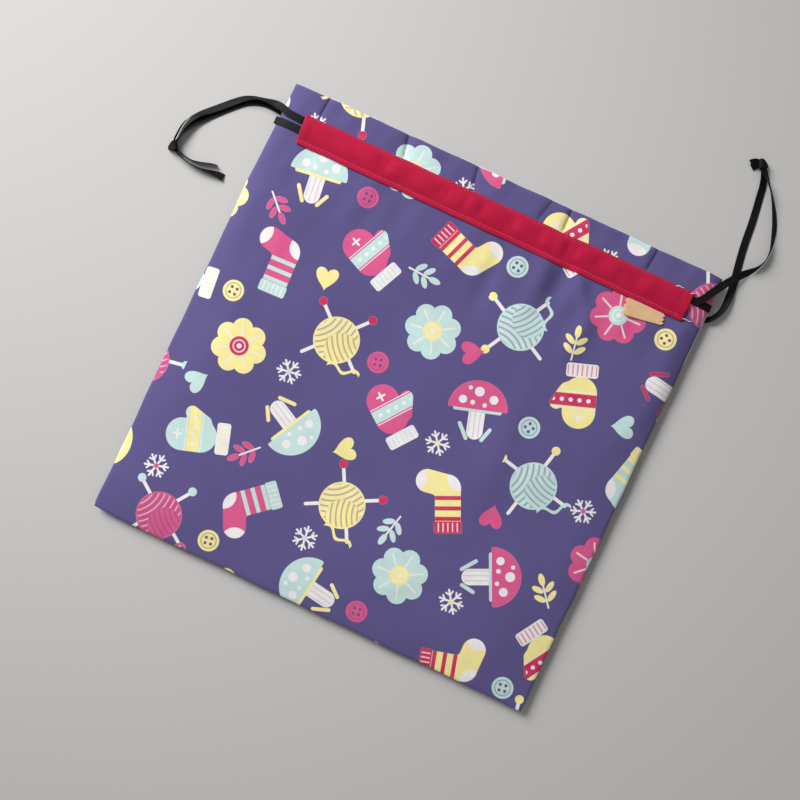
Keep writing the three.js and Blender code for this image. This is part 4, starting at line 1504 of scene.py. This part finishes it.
class BAG_OT_strands(bpy.types.Operator):
    bl_idname = "bag.strands"
    bl_label = "Loose ribbons"

    # The lump's radii, its points round and along it, its polar gap, the power that blunts it, and its
    # hollows' depth and turns. The wound band's radii, first and last angle, climb along the knot, width
    # with thickness and curl, and points. Then the bight's thickness and curl, and the points across both
    # bands.
    LUMP = (2.4 * MM, 4.8 * MM, 3.0 * MM)
    LUMP_POINTS = (32, 21)
    POLE_GAP = 0.02
    BLUNTING = 0.8
    HOLLOW = 0.07
    HOLLOW_TURNS = (3, 5)
    WOUND = (2.35 * MM, 2.75 * MM)
    WOUND_ANGLES = (-0.9, 3.3 * np.pi)
    WOUND_CLIMB = (-1.5 * MM, 1.7 * MM)
    WOUND_SECTION = (3.6 * MM, 0.6 * MM, 0.12 * MM)
    WOUND_POINTS = 64
    BIGHT_SECTION = (0.55 * MM, 0.3 * MM)
    COLUMNS = 9

    def execute(self, context):
        for side in ("left", "right"):
            body = f"{side}_drawstring"
            ends = [self.knot(side)]
            for number in (1, 2):
                ends.append(self.loose(f"{side}_ribbon_tail_{number}")[0])
            for piece in ends:
                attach(piece, body)
            for wall in ("front", "back"):
                strand, points = self.loose(f"{side}_ribbon_{wall}_strand")
                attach(strand, body)
        return {"FINISHED"}

    def loose(self, name):
        """A strand or tail along its route, and the points of its centre line."""
        points, widths = rolled(route_stops(name))
        return woven_band(name, band(points, widths, curl=settings().ribbon.curl)), points

    def knot(self, side):
        """A tight overhand knot: a lump of folded ribbon, a band wound round it and a bight out to one side.

        All three are made about the knot's middle with its length along Y, then turned and set in place.
        """
        centre = np.array(knot_middle(side))
        surface = joined(self.lump(), self.wound(SIDE_SIGN[side]), self.bight(SIDE_SIGN[side], centre[2]))
        cos, sin = math.cos(KNOT_TURN), math.sin(KNOT_TURN)
        spin = np.array(((cos, -sin, 0), (sin, cos, 0), (0, 0, 1)))
        surface.points = surface.points @ spin.T + centre
        return woven_band(f"{side}_ribbon_knot", surface)

    def lump(self):
        """An oval of revolution: its radius is a power of the sine of the angle from its pole.

        Shallow spiral hollows are a sine of the angles round it and along it.
        """
        around, along = np.meshgrid(
            np.linspace(0, 2 * np.pi, self.LUMP_POINTS[0], endpoint=False),
            np.linspace(self.POLE_GAP, np.pi - self.POLE_GAP, self.LUMP_POINTS[1]),
        )
        hollows = np.sin(self.HOLLOW_TURNS[0] * around + self.HOLLOW_TURNS[1] * along)
        body = (1 + self.HOLLOW * hollows) * np.sin(along) ** self.BLUNTING
        points = np.stack([body * np.cos(around), np.cos(along), -body * np.sin(around)], -1) * self.LUMP
        cloth_map = np.stack([around * MM, along * 3 * MM], -1)
        return plain_surface(points, tube_faces(*around.shape), cloth_map)

    def wound(self, outward):
        """A ribbon in a helix about the knot's length, nearly two turns of it."""
        around = np.linspace(*self.WOUND_ANGLES, self.WOUND_POINTS)
        climb = np.linspace(*self.WOUND_CLIMB, self.WOUND_POINTS)
        path = np.stack([self.WOUND[0] * np.cos(around), climb, self.WOUND[1] * np.sin(around)], -1)
        widths = np.broadcast_to((0.25 * outward, 1.0, 0.1), path.shape)
        return band(path, widths, *self.WOUND_SECTION, self.COLUMNS)

    def bight(self, outward, level):
        """A ribbon folded to a point, along KNOT_BIGHT and out on the side away from the bag."""
        stops = smooth_path(np.array(KNOT_BIGHT) * MM, steps=6)
        path = stops[:, :3] * (-outward, 1, 1) - np.array((0, 0, level))
        widths = np.broadcast_to((0, 1.0, 0), path.shape)
        return band(path, widths, stops[:, 3], *self.BIGHT_SECTION, self.COLUMNS)


class BAG_OT_runs(bpy.types.Operator):
    """Make the ribbons' runs through the casings and their turns round the side edges"""

    bl_idname = "bag.runs"
    bl_label = "Ribbons in the casings"

    # Points along a run, along a wrap on each wall and round its turn, a wrap's gap off the walls, and the
    # shares of the way over which it eases to them from the front run and the back run.
    RUN_POINTS = 120
    WRAP_POINTS = 26
    TURN_POINTS = 15
    WRAP_GAP = 0.25 * MM
    FRONT_EASE = 0.8
    BACK_EASE = 0.3

    def execute(self, context):
        for side in ("left", "right"):
            for piece in (self.run(side, "front"), self.run(side, "back"), self.wrap(side)):
                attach(piece, f"{side}_drawstring")
        return {"FINISHED"}

    def run(self, side, wall):
        """A straight band from casing end to casing end at its node's level.

        The right ribbon's front run changes from the lower lane to the upper one along a smooth S.
        """
        name = f"{side}_ribbon_{wall}_run"
        x = np.linspace(-CASING_ENDS["left"] - RUN_GAP, CASING_ENDS["right"] + RUN_GAP, self.RUN_POINTS)
        lane = np.full_like(x, UPPER_LANE if side == "left" else LOWER_LANE)
        if name == "right_ribbon_front_run":
            lane = LOWER_LANE + (UPPER_LANE - LOWER_LANE) * smoothstep(x, *LANE_CHANGE)
        points = np.stack([x, lane, np.full_like(x, middle(name).z)], -1)
        return woven_band(name, band(points, np.broadcast_to((0, -1.0, 0), points.shape)))

    def wrap(self, side):
        """The ribbon's turn round the far side edge: along the front wall, round the seam, and back.

        Its height follows the walls' own heights, half a ribbon and a thin gap off them, and the turn is
        half a circle.
        """
        name = f"{side}_ribbon_wrap"
        far, lane, layer = "right", UPPER_LANE, NEAR_LAYER
        if side == "right":
            far, lane, layer = "left", LOWER_LANE, FAR_LAYER
        sign, start = SIDE_SIGN[far], CASING_ENDS[far] + RUN_GAP
        gap = self.WRAP_GAP + RIBBON_THICKNESS / 2
        share = np.linspace(0, 1, self.WRAP_POINTS)
        reach = start + share * (HALF_WIDTH - start)
        turn_radius = CLOTH + SEAM_PINCH / 2 + gap
        lanes = np.full_like(reach, lane)
        front = front_height(sign * reach, lanes) + layer
        front = front + (gap - layer) * smoothstep(share, 0, self.FRONT_EASE)
        level = middle(f"{side}_ribbon_back_run").z
        back = back_height(sign * reach, lanes) - gap
        back = level + (back - level) * smoothstep(share, 0, self.BACK_EASE)
        around = np.linspace(np.pi / 2, -np.pi / 2, self.TURN_POINTS)[1:-1]
        x = np.concatenate([reach, HALF_WIDTH + turn_radius * np.cos(around), reach[::-1]])
        z = np.concatenate([front, SEAM_LEVEL + turn_radius * np.sin(around), back[::-1]])
        points = np.stack([sign * x, np.full_like(x, lane), z], -1)
        widths = np.broadcast_to((0, -sign * 1.0, 0), points.shape)
        return woven_band(name, band(points, widths))


# Where the front lining peeps out at the mouth: place across the bag and half width in millimetres. Then
# how far it peeps out, and over how many millimetres it rises to that.
PEEPS = ((-152, 16), (-118, 4), (-37, 4), (-17, 9), (96, 6))
PEEP = 1.5 * MM
PEEP_RISE = 2

# The mouth edges of panels and linings: seed, height over the frame's mouth line and size of the waves.
PANEL_MOUTH = (47, -0.7 * MM, 0.35 * MM)
LINING_MOUTH = (53, -1.2 * MM, 0.3 * MM)


def mouth_edge(seed, high, wave, peep=0.0):
    """A mouth edge that waves a little, and stands up by peep at the places named: its Y for each X."""
    def edge(x):
        shown = sum(
            smoothstep(np.abs(x - middle_x * MM), (half + PEEP_RISE) * MM, half * MM)
            for middle_x, half in PEEPS
        )
        return MOUTH + high + wave * waves(x, x, MOUTH_WAVES, 0, seed) + peep * shown
    return edge


def inner_face(height, outward):
    """Height of the face of a lining that lies behind a wall: its depth plus its own thickness inside it."""
    return lambda x, y: height(x, y) - outward * (LINING_DEPTH + LINING)


class BAG_OT_walls(bpy.types.Operator):
    """Make the printed walls and their pale linings, each in two halves that meet at the middle"""

    bl_idname = "bag.walls"
    bl_label = "Walls and linings"

    # Each wall's name, the way its face looks, the height of its face, the shift of its print and its
    # lining's peep.
    WALLS = (
        ("front", 1, front_height, (72 * MM, -14 * MM), PEEP),
        ("back", -1, back_height, (240 * MM, 0), 0),
    )

    def execute(self, context):
        for side in ("left", "right"):
            for wall, outward, height, shift, peep in self.WALLS:
                seed, *edge = PANEL_MOUTH
                panel_edge = mouth_edge(seed + outward, *edge)
                panel = half_wall(side, outward, CLOTH / 2, panel_edge, height, CLOTH, shift)
                self.declare(f"{wall}_panel", side, panel, "printed_cloth", ("print", "reverse"), HALF_WIDTH)
                seed, *edge = LINING_MOUTH
                lining_edge = mouth_edge(seed + outward, *edge, peep)
                inner = inner_face(height, outward)
                lining = half_wall(side, -outward, LINING_INSET, lining_edge, inner, LINING, (0, 0))
                width = HALF_WIDTH - LINING_INSET
                self.declare(f"{wall}_lining", side, lining, "lining_cloth", ("lining", "lining"), width)
        return {"FINISHED"}

    def declare(self, node, side, surface, slot, finishes, width):
        piece = add_piece(f"{node}_{side}", surface, slot, *(finish_for(key) for key in finishes))
        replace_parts(piece, node)
        gather(piece)


# Where the right seam allowance's raw edge shows: lowest and highest Y, over what length that fades, and
# how far it stands out of the bag's edge.
RAW_EDGE = (112 * MM, 163 * MM)
RAW_FADE = 3 * MM
RAW_REACH = 0.75 * MM


class BAG_OT_seams(bpy.types.Operator):
    """Make the flat seam allowances inside the bag along its sides and bottom, with one raw edge showing"""

    bl_idname = "bag.seams"
    bl_label = "Seam allowances"

    # Points of a strip along and across Y, the height of its waves, its thickness as a share of its node's,
    # and the shares of the way out to the raw edge at which the strip starts to thin and is pressed flat.
    SIDE_POINTS = (240, 9)
    BOTTOM_POINTS = (7, 160)
    WAVE = 0.06 * MM
    THICKNESS = 0.8
    THIN_START = 0.02
    PRESSED = 0.2

    def execute(self, context):
        for side in ("left", "right"):
            gather(self.strip(f"{side}_side_seam", self.SIDE_POINTS))
        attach(self.strip("bottom_seam", self.BOTTOM_POINTS), "bag")
        return {"FINISHED"}

    def strip(self, name, counts):
        """A strip over its node's box: thin and slightly wavy in height along its length.

        The right one's raw edge stands out between the walls over RAW_EDGE, where the strip is pressed to
        half the gap between them.
        """
        low, high = (np.array(corner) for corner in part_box(name))
        rows, columns = counts
        y, x = np.meshgrid(
            np.linspace(low[1], high[1], rows), np.linspace(low[0], high[0], columns), indexing="ij"
        )
        along = y if rows > columns else x
        z = (low[2] + high[2]) / 2 + self.WAVE * waves(along, along, *SEAM_WAVES)
        half = np.full_like(x, self.THICKNESS * (high[2] - low[2]) / 2)
        if name == "right_side_seam":
            lowest, highest = RAW_EDGE
            shown = smoothstep(y, lowest, lowest + RAW_FADE)
            shown = shown * (1 - smoothstep(y, highest - RAW_FADE, highest))
            outer = np.linspace(0, 1, columns) ** 2 * shown
            x = x + outer * (HALF_WIDTH + RAW_REACH - high[0])
            half = half * (1 - smoothstep(outer, self.THIN_START, self.PRESSED)) + SEAM_PINCH / 4
            z = z + (SEAM_LEVEL - z) * smoothstep(outer, 0, self.PRESSED)
        lift = half[..., None] * np.array((0, 0, 1.0))
        centre = np.stack([x, y, z], -1)
        surface = closed_sheet(centre + lift, centre - lift, np.stack([x, y], -1))
        finish = finish_for("reverse")
        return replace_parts(add_piece(f"{name}_strip", surface, "printed_cloth", finish, finish), name)


# Loose thread ends at the right end of the front casing: X, Y and height above the front wall, in
# millimetres.
LOOSE_THREADS = (
    (
        (171.5, 147.9, 1.2), (174.5, 147.6, 1.3), (177.2, 147.9, 0.8), (179.4, 147.7, 0.4),
        (181.4, 148.3, 0.4),
    ),
    ((158.6, 169.0, 1.7), (160.4, 169.9, 2.2), (162.6, 169.7, 2.2), (164.8, 169.9, 1.7)),
    ((171.2, 168.4, 1.4), (172.6, 168.9, 1.9), (174.2, 169.6, 1.7)),
)


class BAG_OT_casings(bpy.types.Operator):
    """Make the red casings with their turned-under hems, in halves, and their rows of topstitching"""

    bl_idname = "bag.casings"
    bl_label = "Casings"

    # The direction across a loose thread, and the points across it.
    THREAD_ACROSS = (0.35, -1.0, 0.0)
    THREAD_COLUMNS = 7

    def execute(self, context):
        for wall in ("front", "back"):
            for side in ("left", "right"):
                self.half(wall, side)
        return {"FINISHED"}

    def half(self, wall, side):
        """Half a casing with its stitches, and with the loose threads at the front one's right end."""
        front = wall == "front"
        name = f"{wall}_casing"
        red = finish_for("casing")
        casing = add_piece(f"{name}_{side}", half_casing(side, front), "casing_cloth", red, red, sharp=75)
        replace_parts(casing, name, f"{name}_lower_hem", f"{name}_upper_hem")
        rows = joined(*(stitch_row(side, up * MM, front) for up in STITCH_ROWS))
        trimmings = [add_piece(f"{name}_stitches_{side}", rows, "casing_cloth", finish_for("thread"))]
        if front and side == "right":
            threads = joined(*(self.thread(stops) for stops in LOOSE_THREADS))
            pale = finish_for("loose thread")
            trimmings.append(add_piece("loose_threads", threads, "casing_cloth", pale))
        for piece in (casing, *trimmings):
            gather(piece)

    def thread(self, stops):
        """A loose thread end: a thick band along a smooth path over the front wall at its own height."""
        x, y, height = smooth_path(np.array(stops) * MM, steps=8).T
        points = np.stack([x, y, front_height(x, y) + height], -1)
        widths = np.broadcast_to(self.THREAD_ACROSS, points.shape)
        thread = settings().casing.thread_width
        return band(points, widths, thread, thread, columns=self.THREAD_COLUMNS)


class BAG_OT_label(bpy.types.Operator):
    """Make the bare tan tab with pinked ends, its upper edge against the casing"""

    bl_idname = "bag.label"
    bl_label = "Tab"

    # The pinked teeth at each end and their depth, the points for each tooth and along the tab, where along
    # it the skew turns, how closely the tab follows the cloth, and the least gap between them. Then the
    # mean, swing, angle along the tab and first angle of the wave in its free edge.
    TEETH = 3
    TOOTH = 2 * MM
    TOOTH_POINTS = 12
    COLUMNS = 61
    PIVOT = 0.68
    FOLLOW = 0.6
    GAP = 0.1 * MM
    CURL_MEAN = 0.7
    CURL_SWING = 0.5
    CURL_ANGLE = 5
    CURL_START = 0.6

    def execute(self, context):
        low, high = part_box("label")
        tan = finish_for("tab")
        piece = add_piece("label_tab", self.tab(low, high - low), "label_tab", tan, tan, sharp=60)
        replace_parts(piece, "label")
        self.carry(piece, (low + high) / 2)
        return {"FINISHED"}

    def tab(self, low, size):
        """A sheet with a triangle wave of teeth at each end, sheared by the skew.

        It follows the cloth under it in part, and never closer than GAP. Its free edge curls up by the
        square of the share of the way down, times a wave along it.
        """
        wide, tall, thickness = size
        up, across = np.meshgrid(
            np.linspace(0, 1, self.TOOTH_POINTS * self.TEETH + 1), np.linspace(0, 1, self.COLUMNS),
            indexing="ij",
        )
        tooth = np.abs(2 * ((up * self.TEETH) % 1) - 1) * self.TOOTH
        from_left = tooth + across * (wide - 2 * tooth)
        skew = math.tan(settings().label.skew)
        x = low.x + from_left + skew * tall * (0.5 - up)
        y = low.y + up * tall + skew * (from_left - self.PIVOT * wide) * (1 - up)
        cloth = front_height(x, y)
        level = np.maximum(cloth.mean() + self.FOLLOW * (cloth - cloth.mean()), cloth + self.GAP)
        wave = self.CURL_MEAN + self.CURL_SWING * np.sin(across * self.CURL_ANGLE + self.CURL_START)
        curl = settings().label.lift * (1 - up) ** 2 * wave
        face = np.stack([x, y, level + curl + thickness], -1)
        return closed_sheet(face, face - np.array((0, 0, thickness)), np.stack([x, y], -1))

    def carry(self, piece, centre):
        """Bake the tab's placement into its mesh.

        It also works out the share of a pull at the tab's middle, from its place across and up the bag over
        DRAW_REACH, and a start point far below it by that share along Z.
        """
        share = (2 * centre.x + centre.y - MOUTH) / DRAW_REACH
        far = 50.0
        start = Vector((centre.x, centre.y, centre.z - far * share))
        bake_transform(piece)


OPERATORS = (
    BAG_OT_stage, BAG_OT_strands, BAG_OT_runs, BAG_OT_walls, BAG_OT_seams, BAG_OT_casings, BAG_OT_label,
)
GROUPS = {
    "bag_cloth": BagClothSettings, "bag_casing": BagCasingSettings, "bag_ribbon": BagRibbonSettings,
    "bag_label": BagLabelSettings, "bag_stage": BagStageSettings,
}


class BAG_PT_sidebar(bpy.types.Panel):
    """Buttons for the bag's pieces and its settings"""

    bl_idname = "BAG_PT_sidebar"
    bl_label = "Project bag"
    bl_space_type = "VIEW_3D"
    bl_region_type = "UI"
    bl_category = "Bag"

    def draw(self, context):
        for operator in OPERATORS:
            self.layout.operator(operator.bl_idname)
        for name, group in GROUPS.items():
            box = self.layout.box()
            for key in group.__annotations__:
                box.prop(getattr(context.scene, name), key)


def register():
    """Add the settings, operators and panel."""
    for name, group in GROUPS.items():
        bpy.utils.register_class(group)
        setattr(bpy.types.Scene, name, PointerProperty(type=group))
    for operator in OPERATORS:
        bpy.utils.register_class(operator)
    bpy.utils.register_class(BAG_PT_sidebar)


def unregister():
    """Take them away again."""
    bpy.utils.unregister_class(BAG_PT_sidebar)
    for operator in reversed(OPERATORS):
        bpy.utils.unregister_class(operator)
    for name, group in GROUPS.items():
        delattr(bpy.types.Scene, name)
        bpy.utils.unregister_class(group)


def main():
    """Build the bag."""
    register()
    bpy.ops.bag.stage()
    bpy.ops.bag.strands()
    bpy.ops.bag.runs()
    bpy.ops.bag.walls()
    bpy.ops.bag.seams()
    bpy.ops.bag.casings()
    bpy.ops.bag.label()
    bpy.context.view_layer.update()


if __name__ == "__main__":
    main()
